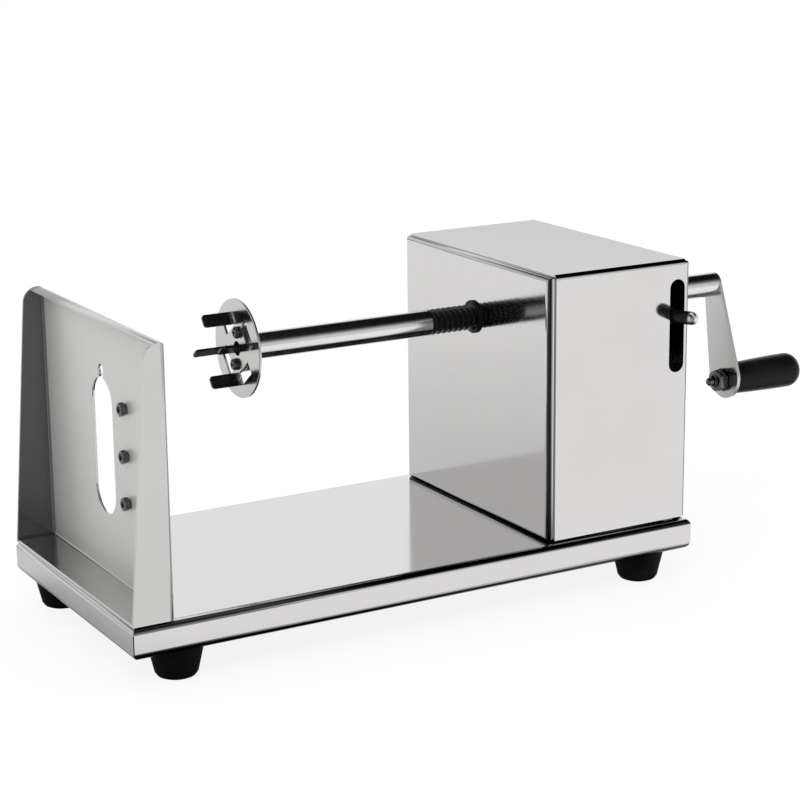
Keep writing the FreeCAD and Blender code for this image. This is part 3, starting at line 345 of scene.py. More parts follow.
def floor_shade(tree):
    """The floor's brightness for mirrored rays, by where they land and how steeply."""
    spot = Wire(tree, tree.nodes.new("ShaderNodeTexCoord").outputs["Object"])
    base_low, base_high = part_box("base_pan")
    outside = spot.vector("SUBTRACT", (base_low + base_high) / 2).vector("ABSOLUTE")
    outside = outside.vector("SUBTRACT", (base_high - base_low) / 2).vector("MAXIMUM", (0, 0, 0))
    distance = outside.stretched(LEVEL).vector("LENGTH", output=1)
    close_shade = distance.ramped(0.0, UNDER_REACH, UNDER_EDGE, 1.0)
    behind = spot.vector("DOT_PRODUCT", BACK_LEFT, output=1)
    behind_shade = behind.ramped(BEHIND_NEAR, BEHIND_FAR, BEHIND_DARK, BEHIND_LIGHT)
    in_front = behind.ramped(FRONT_NEAR, BEHIND_NEAR, 1.0, 0.0)
    incoming = Wire(tree, tree.nodes.new("ShaderNodeNewGeometry").outputs["Incoming"])
    arriving = incoming.stretched((-1, -1, -1))
    steep = arriving.part(2).ramped(STEEP, SLANTING, STEEP_DARK, 1.0)
    sides = in_front + (1 - in_front) * behind_shade
    return steep * close_shade * sides * lens_gap(arriving)


print("next to the base the floor is", UNDER_EDGE, "as bright as far off")

# %% Floor
FLOOR_SIZE = 40.0
FLOOR_LIT_SHARE = 0.15
FLOOR_GLOW = 1.03
PAPER = (0.9, 0.9, 0.9, 1)

bpy.ops.mesh.primitive_plane_add(size=FLOOR_SIZE, location=(0, 0, 0))
floor = bpy.context.object
floor.name = "floor"
paper = bpy.data.materials.new("white_paper")
paper.use_nodes = True
tree = paper.node_tree
tree.nodes.clear()
seen, mirrored = rays(tree)
brightness = seen * FLOOR_GLOW + mirrored * floor_shade(tree)
lit = seen.node("ShaderNodeBsdfDiffuse", {}, {"Color": PAPER})
white = {"Color": (1, 1, 1, 1), "Strength": brightness}
glow = seen.node("ShaderNodeEmission", {}, white)
share = seen * (1 - FLOOR_LIT_SHARE) + mirrored
surface = share.node("ShaderNodeMixShader", {}, {0: share, 1: lit, 2: glow})
surface.into(tree.nodes.new("ShaderNodeOutputMaterial").inputs["Surface"])
floor.data.materials.append(paper)
floor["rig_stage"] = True
print("floor", FLOOR_SIZE, "m across")

# %% Lamp
LAMP_PLACE = Vector((-0.9, -1.1, 1.5))
LAMP_AIM = Vector((0, 0, 0.05))
LAMP_SIZE = 1.1
LAMP_POWER = 9.0

lamp_data = bpy.data.lights.new("soft_lamp", "AREA")
lamp_data.shape = "SQUARE"
lamp_data.size = LAMP_SIZE
lamp_data.energy = LAMP_POWER
lamp = bpy.data.objects.new("soft_lamp", lamp_data)
bpy.context.scene.collection.objects.link(lamp)
aim = (LAMP_AIM - LAMP_PLACE).to_track_quat("-Z", "Y")
lamp.matrix_world = Matrix.Translation(LAMP_PLACE) @ aim.to_matrix().to_4x4()
lamp.visible_glossy = False
bpy.context.scene.view_settings.view_transform = "Standard"
print("lamp at", [round(v, 2) for v in LAMP_PLACE])

# %% [markdown]
# ## Brushed stainless sheet
#
# The sheet is cold rolled and brushed before it is cut and folded, so its grain follows the long
# side of each piece and goes on round the bends. A picture of brushed steel could be wrapped
# round it, but noise that is stretched along the grain gives the streaks at any distance. A face
# that looks along X can't show a grain along X, so there the noise is stretched across the
# machine instead, picked by the face's own normal. The bends at the front and back get painted
# shade and reflection, their colour taken toward black, and they are picked by their normal too.


# %% Start a finish
def begin(name, colour, metallic, roughness):
    """A material, its shader, and Wires for where a point is and which way it faces."""
    material = bpy.data.materials.new(name)
    material.use_nodes = True
    tree = material.node_tree
    shader = tree.nodes["Principled BSDF"]
    shader.inputs["Base Color"].default_value = (*colour, 1)
    shader.inputs["Metallic"].default_value = metallic
    shader.inputs["Roughness"].default_value = roughness
    source = tree.nodes.new("ShaderNodeTexCoord")
    place, facing = (Wire(tree, source.outputs[name]) for name in ("Object", "Normal"))
    return material, shader, place, facing


def bumped(shader, height, depth, strength):
    """Raises and sinks the surface by a height value, depth metres at most."""
    inputs = {"Height": height, "Strength": strength, "Distance": depth}
    height.node("ShaderNodeBump", {}, inputs).into(shader.inputs["Normal"])


print("a finish starts as a Principled shader")

# %% Brushed sheet
GRAIN_LONG = 140.0
GRAIN_FINE = 5200.0
GRAIN_DETAIL, GRAIN_ROUGHNESS = 3.0, 0.6
GRAIN_DEPTH, GRAIN_BUMP = 0.000003, 0.5
CLOUD_SCALE, CLOUD_ROUGHNESS = 22.0, 0.55
SPECKLE_SCALE = 1500.0
GRAIN_SHARE, CLOUD_SHARE, SPECKLE_SHARE = 0.5, 0.35, 0.15
EVEN_BELOW, EVEN_ABOVE = 0.3, 0.7
END_BELOW, END_ABOVE = 0.6, 0.7
END_ROUGHER = 0.3
STREAKS = 0.03
SHADE = 0.02
SMOOTHEST, SHEET_ROUGHEST = 0.02, 0.6
BEND_STARTS, BEND_FULL = 0.22, 0.48
BEND_LEAVES, BEND_ENDS = 0.88, 0.96
# Near black for the painted shade and reflection in the bends.
PAINTED_BEND_BLACK = (0.01, 0.01, 0.01)


def brushed_sheet(name, colour, roughness, dull_ends=0.0, painted_bend_shade=0.0):
    """Sheet whose grain runs along X, and across the machine on the faces that look along X."""
    material, shader, place, facing = begin(name, colour, 1.0, roughness)
    ends = facing.part(0).unsigned().ramped(END_BELOW, END_ABOVE)
    lengthwise = place.stretched((GRAIN_LONG, GRAIN_FINE, GRAIN_FINE))
    crosswise = place.stretched((GRAIN_FINE, GRAIN_LONG, GRAIN_FINE))
    lengthwise, crosswise = (
        way.noise(1.0, GRAIN_DETAIL, GRAIN_ROUGHNESS) for way in (lengthwise, crosswise)
    )
    grain = lengthwise * (1 - ends) + crosswise * ends
    cloud = place.noise(CLOUD_SCALE, GRAIN_DETAIL, CLOUD_ROUGHNESS)
    speckle = place.noise(SPECKLE_SCALE, 1.0)
    worn = roughness + (grain - 0.5) * STREAKS * 2 + (cloud - 0.5) * STREAKS
    worn = worn + ends * dull_ends * END_ROUGHER
    worn.clipped(SMOOTHEST, SHEET_ROUGHEST).into(shader.inputs["Roughness"])
    (1 - ends * dull_ends).into(shader.inputs["Metallic"])
    darker = tuple(part * (1 - SHADE * 2) for part in colour)
    lighter = tuple(part * (1 + SHADE) for part in colour)
    tone = grain * GRAIN_SHARE + cloud * CLOUD_SHARE + speckle * SPECKLE_SHARE
    tone = tone.ramped(EVEN_BELOW, EVEN_ABOVE)
    slant = facing.part(1).unsigned()
    # The bends are painted toward near black: painted shade and reflection, picked by the normal.
    bend = slant.ramped(BEND_STARTS, BEND_FULL) * slant.ramped(BEND_LEAVES, BEND_ENDS, 1.0, 0.0)
    darkened = (bend * painted_bend_shade).mixed(tone.mixed(darker, lighter), PAINTED_BEND_BLACK)
    darkened.into(shader.inputs["Base Color"])
    bumped(shader, grain, GRAIN_DEPTH, GRAIN_BUMP)
    return material


sheet = brushed_sheet("brushed_sheet", (0.70, 0.69, 0.685), 0.10, painted_bend_shade=0.95)
satin = brushed_sheet("satin_sheet", (0.62, 0.615, 0.605), 0.16, dull_ends=0.6)
plate = brushed_sheet("satin_plate", (0.60, 0.605, 0.59), 0.20)
ground = brushed_sheet("ground_blade", (0.66, 0.67, 0.68), 0.14)
print("brushed:", sheet.name, satin.name, plate.name, ground.name)

# %% [markdown]
# ## Plated metal
#
# Chrome is smooth metal with faint wipe marks. Zinc plating is a duller metal with a mottled
# bloom, and drawn wire and turned bronze are like it in other colours. All four are one Principled
# metal: what tells them apart is the colour, and how far the noise moves the roughness.

# %% Chrome, zinc, wire and bronze
MARK_DETAIL, MARK_ROUGHNESS = 4.0, 0.6
MARK_DEPTH, MARK_BUMP = 0.000004, 0.4
WIPE_SCALE = (40.0, 900.0, 900.0)
PLATED_ROUGHEST = 0.7


def plated(name, colour, roughness, mottle, scale, dulling=0.86):
    """Smooth plated metal with faint marks."""
    material, shader, place, _ = begin(name, colour, 1.0, roughness)
    marks = place.noise(scale, MARK_DETAIL, MARK_ROUGHNESS)
    wipes = place.stretched(WIPE_SCALE).noise(1.0, 2.0)
    worn = roughness + (marks - 0.5) * mottle + (wipes - 0.5) * mottle
    worn.clipped(SMOOTHEST, PLATED_ROUGHEST).into(shader.inputs["Roughness"])
    duller = tuple(part * dulling for part in colour)
    tone = marks.ramped(EVEN_BELOW, EVEN_ABOVE).mixed(duller, colour)
    tone.into(shader.inputs["Base Color"])
    bumped(shader, marks, MARK_DEPTH, MARK_BUMP)
    return material


chrome = plated("polished_chrome", (0.76, 0.76, 0.77), 0.13, 0.01, 160.0, 0.985)
zinc = plated("zinc_plate", (0.15, 0.15, 0.147), 0.15, 0.10, 420.0)
wire = plated("drawn_wire", (0.55, 0.55, 0.56), 0.24, 0.10, 700.0)
bronze = plated("turned_bronze", (0.60, 0.42, 0.22), 0.28, 0.12, 300.0)
print("plated:", chrome.name, zinc.name, wire.name, bronze.name)

# %% [markdown]
# ## Blackened and moulded surfaces
#
# Black oxide is nearly a plain dark surface with an oily gloss. The grip is a moulded plastic with
# a fine spark-eroded skin, the feet are rubber with a powdery bloom, and the bushes and the stop
# collar are nylon. None of them mirrors the room clearly, so they share one recipe: a fine bump
# for the skin, and wide soft patches where hands have rubbed it.

# %% Black oxide, plastic, rubber and nylon
SKIN_DETAIL, SKIN_ROUGHNESS, SKIN_BUMP = 3.0, 0.6, 0.6
RUB_SCALE = 60.0
SKIN_MOTTLE, RUB_MOTTLE = 0.12, 0.14
SKIN_SMOOTHEST, SKIN_ROUGHEST = 0.05, 0.95
RUB_BELOW, RUB_ABOVE = 0.45, 0.8
RUB_LIGHTER, RUB_DUST = 1.7, 0.004


def dark_skin(name, colour, roughness, grain_scale, depth, gloss=0.16):
    """A surface with a fine skin and faint handling marks."""
    material, shader, place, _ = begin(name, colour, 0.0, roughness)
    shader.inputs["Specular IOR Level"].default_value = gloss
    skin = place.noise(grain_scale, SKIN_DETAIL, SKIN_ROUGHNESS)
    rubs = place.noise(RUB_SCALE, SKIN_DETAIL, SKIN_ROUGHNESS)
    worn = roughness + (skin - 0.5) * SKIN_MOTTLE + (rubs - 0.5) * RUB_MOTTLE
    worn.clipped(SKIN_SMOOTHEST, SKIN_ROUGHEST).into(shader.inputs["Roughness"])
    rubbed = tuple(part * RUB_LIGHTER + RUB_DUST for part in colour)
    tone = rubs.ramped(RUB_BELOW, RUB_ABOVE).mixed(colour, rubbed)
    tone.into(shader.inputs["Base Color"])
    bumped(shader, skin, depth, SKIN_BUMP)
    return material


oxide = dark_skin("black_oxide", (0.006, 0.006, 0.006), 0.24, 1200.0, 0.000004, 0.5)
grip_plastic = dark_skin("grip_plastic", (0.004, 0.004, 0.004), 0.30, 1600.0, 0.00001)
black_nylon = dark_skin("black_nylon", (0.005, 0.005, 0.005), 0.38, 1100.0, 0.00002)
rubber = dark_skin("foot_rubber", (0.003, 0.003, 0.003), 0.62, 900.0, 0.00002, 0.1)
nylon = dark_skin("natural_nylon", (0.72, 0.70, 0.62), 0.45, 800.0, 0.00002, 0.5)
print("skins:", oxide.name, grip_plastic.name, black_nylon.name, rubber.name, nylon.name)

# %% [markdown]
# ## Dress the machine's own pieces
#
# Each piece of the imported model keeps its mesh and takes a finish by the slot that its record
# gives. Choosing by slot, and not by name, dresses a new screw of the same kind by itself.

# %% Finish by slot
finish = {
    "sheet_steel": sheet,
    "plain_steel": plate,
    "blade_steel": ground,
    "bright_chrome": chrome,
    "fastener_steel": zinc,
    "spring_steel": wire,
    "bronze": bronze,
    "black_steel": oxide,
    "grip_plastic": grip_plastic,
    "black_nylon": black_nylon,
    "foot_rubber": rubber,
    "nylon": nylon,
}
slot_of = {part["node"]: part["material_slot"] for part in frame["record"]["subparts"]}


def wears(name, material):
    """Gives one node a finish."""
    nodes[name].data.materials.clear()
    nodes[name].data.materials.append(material)


for name in nodes:
    wears(name, finish[slot_of[name]])
print("dressed", len(nodes), "pieces in", len(set(slot_of.values())), "finishes")

# %% [markdown]
# ## Pieces with two finishes
#
# Four pieces change along their length. The release pin is black with a bright end. The blade
# plate's far flange stands in painted shade, a painted shadow runs along the foot of the left end
# wall, and the prongs are darker than the disc. A second material could be put on some faces, but
# the change would then follow the edges of the mesh. A copy of the finish that fades along one
# axis puts it wherever it belongs.

# %% Finishes that fade along an axis
FLANGE_ZONE, FLANGE_FADE, FLANGE_SHADE = 3.0, 1.0, (0.2, 0.2, 0.2)
TIP, TIP_FADE, TIP_STEEL = 3.0, 0.4, (0.8, 0.8, 0.8)
# The left wall's foot gets a painted shadow line, 1.3 mm high.
PAINTED_SHADOW_HEIGHT, PAINTED_SHADOW_FADE, PAINTED_SHADOW_BLACK = 1.3, 0.2, (0.01, 0.01, 0.01)
PRONG_ROOT, PRONG_FADE, PRONG_BLACK = 2.4, 1.5, (0.07, 0.07, 0.07)


def fading(material, name, axis, start, end, tone, metal=False):
    """A copy of a finish that turns to another tone, or to metal, from start to end on an axis."""
    twin = material.copy()
    twin.name = name
    tree = twin.node_tree
    shader = tree.nodes["Principled BSDF"]
    place = Wire(tree, tree.nodes.new("ShaderNodeTexCoord").outputs["Object"])
    share = place.part(axis).ramped(start, end)
    before = Wire(tree, shader.inputs["Base Color"].links[0].from_socket)
    share.mixed(before, tone).into(shader.inputs["Base Color"])
    if metal:
        share.into(shader.inputs["Metallic"])
    return twin


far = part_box("blade_plate")[1].y - FLANGE_ZONE * MM
shady = fading(satin, "shady_sheet", 1, far - FLANGE_FADE * MM, far, FLANGE_SHADE)
wears("blade_plate", shady)
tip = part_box("release_pin")[0].y + TIP * MM
tipped = fading(oxide, "pin_oxide", 1, tip, tip - TIP_FADE * MM, TIP_STEEL, metal=True)
wears("release_pin", tipped)
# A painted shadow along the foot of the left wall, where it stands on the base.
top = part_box("base_pan")[1].z
painted_shadow_band = (top + (PAINTED_SHADOW_HEIGHT + PAINTED_SHADOW_FADE) * MM, top + PAINTED_SHADOW_HEIGHT * MM)
wears("left_wall", fading(sheet, "painted_shadow_sheet", 2, *painted_shadow_band, PAINTED_SHADOW_BLACK))
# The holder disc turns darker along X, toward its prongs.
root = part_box("holder_disc")[1].x - PRONG_ROOT * MM
darkened = fading(plate, "holder_steel", 0, root, root - PRONG_FADE * MM, PRONG_BLACK)
wears("holder_disc", darkened)
print("two-tone: plate flange, pin tip, wall seal, prongs")

# %% [markdown]
# ## Deburred edges
#
# Cut sheet is never quite sharp, and a hairline of light along each edge tells the eye so. A Bevel
# modifier makes it without touching the mesh. The meshes come as loose triangles, so a Weld
# modifier joins them first.

# %% Bevel the sheet pieces
EDGED = ("base_pan", "blade_plate", "left_wall", "holder_disc")
EDGE_WIDTH = 0.00018
EDGE_STEPS = 2
EDGE_ABOVE = math.radians(50)
WELD_WITHIN = 0.000002

for name in EDGED:
    weld = nodes[name].modifiers.new("joined", "WELD")
    weld.merge_threshold = WELD_WITHIN
    bevel = nodes[name].modifiers.new("deburred", "BEVEL")
    bevel.width = EDGE_WIDTH
    bevel.segments = EDGE_STEPS
    bevel.limit_method = "ANGLE"
    bevel.angle_limit = EDGE_ABOVE
    bevel.harden_normals = True
print("deburred", len(EDGED), "sheet pieces")

# %% [markdown]
# ## A lathe and a thread
#
# Most of the small pieces are turned. A chain of edges, made by extruding one vertex step by
# step, is the half section, and the spin operator turns it round the Z axis. A real thread needs
# one more thing: the Screw modifier moves the same kind of section along as it turns, and two
# bisect cuts then face its ends. Every piece is modelled standing on the origin along +Z, and is
# laid in its place afterwards.

# %% A chain of edges
CLOSE = 0.000004


def chain(points):
    """A chain of edges through (radius, height) points in millimetres, selected in edit mode."""
    bpy.ops.object.select_all(action="DESELECT")
    bpy.ops.mesh.primitive_plane_add(size=MM, location=(0, 0, 0))
    thing = bpy.context.object
    bpy.ops.object.mode_set(mode="EDIT")
    bpy.ops.mesh.select_mode(type="VERT")
    bpy.ops.mesh.select_all(action="SELECT")
    bpy.ops.mesh.merge(type="CENTER")
    radius, height = points[0]
    bpy.ops.transform.translate(value=(radius * MM, 0, height * MM))
    for next_radius, next_height in points[1:]:
        step = ((next_radius - radius) * MM, 0, (next_height - height) * MM)
        bpy.ops.mesh.extrude_region_move(TRANSFORM_OT_translate={"value": step})
        radius, height = next_radius, next_height
    bpy.ops.mesh.select_all(action="SELECT")
    return thing


def closed_up():
    """Joins doubled vertices, turns all faces outward and leaves edit mode."""
    bpy.ops.mesh.select_all(action="SELECT")
    bpy.ops.mesh.remove_doubles(threshold=CLOSE)
    bpy.ops.mesh.normals_make_consistent(inside=False)
    bpy.ops.object.mode_set(mode="OBJECT")


print("vertices closer than", CLOSE / MM, "mm are joined")

# %% A lathe
LATHE_STEPS = 40


def turned(points, steps=LATHE_STEPS):
    """A solid of revolution about Z."""
    thing = chain(points)
    bpy.ops.mesh.spin(steps=steps, angle=2 * math.pi, center=(0, 0, 0), axis=(0, 0, 1))
    closed_up()
    return thing


def arc(centre, radius, start, end, steps):
    """Points of a round corner in a half section, from one angle to another, in degrees."""
    angles = [math.radians(start + (end - start) * k / steps) for k in range(steps + 1)]
    return [(centre[0] + radius * math.cos(a), centre[1] + radius * math.sin(a)) for a in angles]


print("the lathe turns a section in", LATHE_STEPS, "steps")

# %% A thread
THREAD_DEPTH = 0.55
FLANK_STARTS, CREST_STARTS, CREST_ENDS = 0.85, 0.55, 0.42
THREAD_STEPS = 24


def wound(section, pitch, turns, steps):
    """Winds a section up the Z axis, and leaves the result selected in edit mode."""
    helix = section.modifiers.new("helix", "SCREW")
    helix.axis = "Z"
    helix.screw_offset = pitch * MM
    helix.iterations = turns
    helix.steps = helix.render_steps = steps
    bpy.ops.object.modifier_apply(modifier="helix")
    bpy.ops.object.mode_set(mode="EDIT")
    bpy.ops.mesh.select_all(action="SELECT")


def threaded(radius, pitch, length, steps=THREAD_STEPS):
    """A rod with a right-hand thread, from the origin up to its length."""
    root = radius - THREAD_DEPTH * pitch
    thing = chain(
        [(root, -pitch), (root, -FLANK_STARTS * pitch), (radius, -CREST_STARTS * pitch)]
        + [(radius, -CREST_ENDS * pitch), (root, 0)]
    )
    bpy.ops.object.mode_set(mode="OBJECT")
    wound(thing, pitch, math.ceil(length / pitch) + 2, steps)
    bpy.ops.mesh.remove_doubles(threshold=CLOSE)
    for level, above in ((0, False), (length * MM, True)):
        bpy.ops.mesh.select_all(action="SELECT")
        bpy.ops.mesh.bisect(
            plane_co=(0, 0, level), plane_no=(0, 0, 1), use_fill=True,
            clear_inner=not above, clear_outer=above,
        )
    closed_up()
    return thing


print("a thread is", THREAD_DEPTH, "of its pitch deep")


# %% Cut one piece with another, join pieces, lay one in place
def chosen(thing):
    """Makes a piece the one that is selected and active."""
    bpy.ops.object.select_all(action="DESELECT")
    bpy.context.view_layer.objects.active = thing
    thing.select_set(True)


def carved(thing, tool, operation="DIFFERENCE"):
    """Cuts a piece with a tool, which is used up."""
    cut = thing.modifiers.new("cut", "BOOLEAN")
    cut.operation = operation
    cut.solver = "EXACT"
    cut.object = tool
    chosen(thing)
    bpy.ops.object.modifier_apply(modifier="cut")
    bpy.data.objects.remove(tool)
    return thing


def joined(things):
    """Several pieces as one object."""
    chosen(things[0])
    for thing in things:
        thing.select_set(True)
    if len(things) > 1:
        bpy.ops.object.join()
    return things[0]


def laid(thing, place, direction, spin=0.0):
    """Turns a piece that stands along +Z to a direction, and moves its origin to a place."""
    turn = UP.rotation_difference(direction).to_matrix() @ Matrix.Rotation(spin, 3, "Z")
    thing.matrix_world = Matrix.Translation(place) @ turn.to_4x4()
    chosen(thing)
    bpy.ops.object.transform_apply(location=True, rotation=True, scale=True)
    return thing


def copied(thing):
    """The same piece again, with its own mesh."""
    twin = thing.copy()
    twin.data = thing.data.copy()
    bpy.context.scene.collection.objects.link(twin)
    return twin


print("pieces can be cut, joined, laid and copied")

# %% Take the place of a node
SMOOTH_BELOW = math.radians(32)


def instead(thing, *names):
    """Dresses a finished piece like the nodes that it stands for, and lets it replace them."""
    thing.name = names[0] + "_shown"
    chosen(thing)
    bpy.ops.object.shade_smooth_by_angle(angle=SMOOTH_BELOW)
    thing.data.materials.clear()
    thing.data.materials.append(finish[slot_of[names[0]]])
    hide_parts(*names)
    return thing


def ridden(thing, *names):
    """The same for a piece that moves with one rigid body."""
    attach(instead(thing, *names), nodes[names[0]]["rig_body"])
    return thing


def in_mm(name):
    """A node's lowest and highest corners, in millimetres."""
    return tuple(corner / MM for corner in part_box(name))


def left_end(name):
    """The middle of a node's left end, in metres."""
    low, high = in_mm(name)
    return Vector((low.x, (low.y + high.y) / 2, (low.z + high.z) / 2)) * MM


print("edges below", round(math.degrees(SMOOTH_BELOW)), "degrees are shaded smooth")

# %% [markdown]
# ## The lead screw
#
# A 12 mm screw with a coarse 3 mm pitch: one turn of the crank feeds the potato by one slice. A
# bump could draw the thread, but its crests stand out against the white room, so it is modelled.

# %% Lead screw
PITCH = 3.0
LEAD_STEPS = 48
RIGHT = Vector((1, 0, 0))

low, high = in_mm("lead_screw")
length = high.x - low.x
lead = threaded((high.z - low.z) / 2, PITCH, length, LEAD_STEPS)
ridden(laid(lead, left_end("lead_screw"), RIGHT), "lead_screw")
print("lead screw", round(length, 1), "mm long, pitch", PITCH)

# %% [markdown]
# ## The hand grip
#
# A moulded grip: slim where it meets the arm, swelling along a quarter of a sine, and closed by
# a broad round end. Its bore is open on the axle side. A cylinder could be scaled ring by ring to
# this shape, but one half section on the lathe gives the outside and the bore together.

# %% Grip
END_ROUND, END_STEPS = 6.6, 12
LIP, LIP_STEPS = 0.8, 5
SLIM = 7.9
SWELL_STEPS = 14
BORE = 4.05
BORE_DEPTH = 35.0
GRIP_STEPS = 64

low, high = in_mm("grip")
length, thick = high.x - low.x, (high.y - low.y) / 2
crown = length - END_ROUND
bore = [(0, BORE_DEPTH), (BORE, BORE_DEPTH), (BORE, 0)]
lip = arc((SLIM - LIP, LIP), LIP, -90, 0, LIP_STEPS)
swell = []
for k in range(1, SWELL_STEPS + 1):
    bulge = math.sin(math.pi / 2 * k / SWELL_STEPS)
    swell.append((SLIM + (thick - SLIM) * bulge, LIP + (crown - LIP) * k / SWELL_STEPS))
end_round = arc((thick - END_ROUND, crown), END_ROUND, 0, 90, END_STEPS)
grip = turned(bore + lip + swell + end_round[1:] + [(0, length)], GRIP_STEPS)
ridden(laid(grip, left_end("grip"), RIGHT), "grip")
print("grip", round(length, 1), "mm long and", round(thick * 2, 1), "mm thick")

# %% [markdown]
# ## Screws and nuts
#
# Pan-head screws hold the disc, the box, the feet and the half nut, countersunk ones hold the
# blade, and hexagon nuts close them. An asset library could supply them, but each is only a turned
# head, two thin cuts and a thread, or a prism that is cut to the shape of a lens. One is modelled
# per kind and copied. A node that holds several fasteners is split into its separate solids
# first, to read where each one stands.


# %% Where the separate solids of a node are
def solids(name):
    """The lowest and highest corners of each solid in a node, in millimetres."""
    bpy.ops.object.select_all(action="DESELECT")
    twin = copied(nodes[name])
    twin.parent = None
    chosen(twin)
    bpy.ops.object.mode_set(mode="EDIT")
    bpy.ops.mesh.select_all(action="SELECT")
    bpy.ops.mesh.remove_doubles(threshold=CLOSE / 2)
    bpy.ops.mesh.separate(type="LOOSE")
    bpy.ops.object.mode_set(mode="OBJECT")
    boxes = []
    for part in list(bpy.context.selected_objects):
        corners = [vertex.co / MM for vertex in part.data.vertices]
        low, high = (
            Vector([pick(corner[axis] for corner in corners) for axis in range(3)])
            for pick in (min, max)
        )
        boxes.append((low, high))
        bpy.data.objects.remove(part)
    return sorted(boxes, key=lambda box: [round(v, 2) for v in box[0]])


def seat(box, direction):
    """The middle of the end face that a box turns against a direction."""
    low, high = box
    half = (high - low) / 2
    reach = sum(half[axis] * abs(direction[axis]) for axis in range(3))
    return (low + high) / 2 + direction * -reach


def axes_across(direction):
    """The two axes that a direction doesn't run along."""
    return [axis for axis in range(3) if abs(direction[axis]) < 0.5]


def spans(box, direction):
    """How long a box is along a direction, and its smaller width across it."""
    size = box[1] - box[0]
    along = sum(size[axis] * abs(direction[axis]) for axis in range(3))
    return along, min(size[axis] for axis in axes_across(direction))


print("box_screws holds", len(solids("box_screws")), "solids")

# %% A cross-recess screw
HEAD_BEND, BEND_STEPS = 0.6, 5
HEAD_SIDE, HEAD_FOOT = 0.3, 0.97
HEAD_EDGE = 0.1
RECESS_SPAN = 1.1
PAN_RECESS_WIDTH, PAN_RECESS_DEPTH = 0.26, 1.1
FLAT_RECESS_WIDTH, FLAT_RECESS_DEPTH = 0.24, 1.2


def crossed(thing, level, span, width, depth):
    """Cuts a cross recess into a head, with two thin blades at a level of the Z axis."""
    for quarter in (0, 90):
        bpy.ops.mesh.primitive_cube_add(
            size=1, location=(0, 0, level * MM), rotation=(0, 0, math.radians(quarter))
        )
        blade = bpy.context.object
        blade.scale = Vector((span, width, depth)) * MM
        thing = carved(thing, blade)
    return thing


def pan_screw(size, head, length):
    """A pan-head screw whose head is seated on the origin, and whose thread runs up +Z."""
    rise = size["rise"]
    bend = HEAD_BEND * rise
    side = [(head, -HEAD_SIDE * rise), (HEAD_FOOT * head, 0), (0, 0)]
    dome = turned([(0, -rise)] + arc((head - bend, bend - rise), bend, -90, -10, BEND_STEPS) + side)
    recess = (RECESS_SPAN * head, PAN_RECESS_WIDTH * head, PAN_RECESS_DEPTH * rise)
    dome = crossed(dome, -rise, *recess)
    return joined([dome, threaded(size["shank"], size["pitch"], length)])


def countersunk_screw(size, head, sink, length):
    """A countersunk screw with its flat face on the origin, and its thread up +Z."""
    cone = turned([(0, 0), (head, 0), (head, HEAD_EDGE), (size["shank"], sink), (0, sink)])
    recess = (RECESS_SPAN * head, FLAT_RECESS_WIDTH * head, FLAT_RECESS_DEPTH * sink)
    cone = crossed(cone, 0, *recess)
    return joined([cone, threaded(size["shank"], size["pitch"], length)])


print("a pan head's recess is", PAN_RECESS_DEPTH / 2, "of its height deep")

# %% A hexagon nut
CHAMFER_STARTS = 0.48
CHAMFER = math.radians(30)
HALF_FACE = math.radians(30)
BORE_SINK = 0.12
PAST = 1


def hexagon(across, height, bore):
    """A chamfered hexagon that stands on the origin, with a corner towards +Y."""
    corner = across / math.sqrt(3)
    bpy.ops.mesh.primitive_cylinder_add(
        vertices=6, radius=corner * MM, depth=height * MM, location=(0, 0, height / 2 * MM)
    )
    bpy.ops.object.transform_apply(location=True, rotation=False, scale=False)
    prism = bpy.context.object
    fall = (corner - across / 2) * math.tan(CHAMFER)
    flat = CHAMFER_STARTS * across
    lens = [(0, 0), (flat, 0), (corner, fall), (corner, height - fall), (flat, height), (0, height)]
    nut = carved(prism, turned(lens), "INTERSECT")
    sink = BORE_SINK * bore
    mouth = bore + sink + PAST
    drill = [
        (0, -PAST), (mouth, -PAST), (bore, sink),
        (bore, height - sink), (mouth, height + PAST), (0, height + PAST),
    ]
    return carved(nut, turned(drill))


def corner_spin(box, direction):
    """How far a hexagon turns on its axis for its corners to reach the box's wider sides."""
    size = box[1] - box[0]
    wide = max(axes_across(direction), key=lambda axis: size[axis])
    corner = UP.rotation_difference(direction).to_matrix() @ Vector((0, 1, 0))
    return 0.0 if abs(corner[wide]) > 0.5 else HALF_FACE


print("a nut's corners are chamfered by", round(math.degrees(CHAMFER)), "degrees")

# %% All the screws
M3 = {"shank": 1.5, "rise": 2.2, "pitch": 0.5}
M4 = {"shank": 2.0, "rise": 2.6, "pitch": 0.7}
M5 = {"shank": 2.5, "rise": 3.2, "pitch": 0.8}
LEFT = Vector((-1, 0, 0))
PAN_SCREWS = {
    "holder_screws": (M3, RIGHT),
    "box_screws": (M4, UP),
    "foot_screws": (M5, UP),
    "half_nut_screws": (M4, LEFT),
}
COUNTERSINK = 1.2


def placed(master, places, direction, name):
    """Copies a fastener to several places in millimetres, and lets the row replace a node."""
    row = [laid(copied(master), place * MM, direction, spin) for place, spin in places]
    bpy.data.objects.remove(master)
    ridden(joined(row), name)
    print(name, len(row))


for name, (size, direction) in PAN_SCREWS.items():
    boxes = solids(name)
    long, wide = spans(boxes[0], direction)
    master = pan_screw(size, wide / 2, long - size["rise"])
    heads = [(seat(box, direction) + direction * size["rise"], 0.0) for box in boxes]
    placed(master, heads, direction, name)

boxes = solids("blade_screws")
long, wide = spans(boxes[0], LEFT)
master = countersunk_screw(M3, wide / 2, COUNTERSINK, long)
placed(master, [(seat(box, LEFT), 0.0) for box in boxes], LEFT, "blade_screws")

# %% All the nuts
M6 = {"shank": 3.0, "pitch": 1.0}
DOWN = Vector((0, 0, -1))
NUTS = {
    "plate_nuts": (M4, DOWN),
    "box_nuts": (M4, UP),
    "foot_weld_nuts": (M5, DOWN),
    "grip_nut": (M6, LEFT),
}

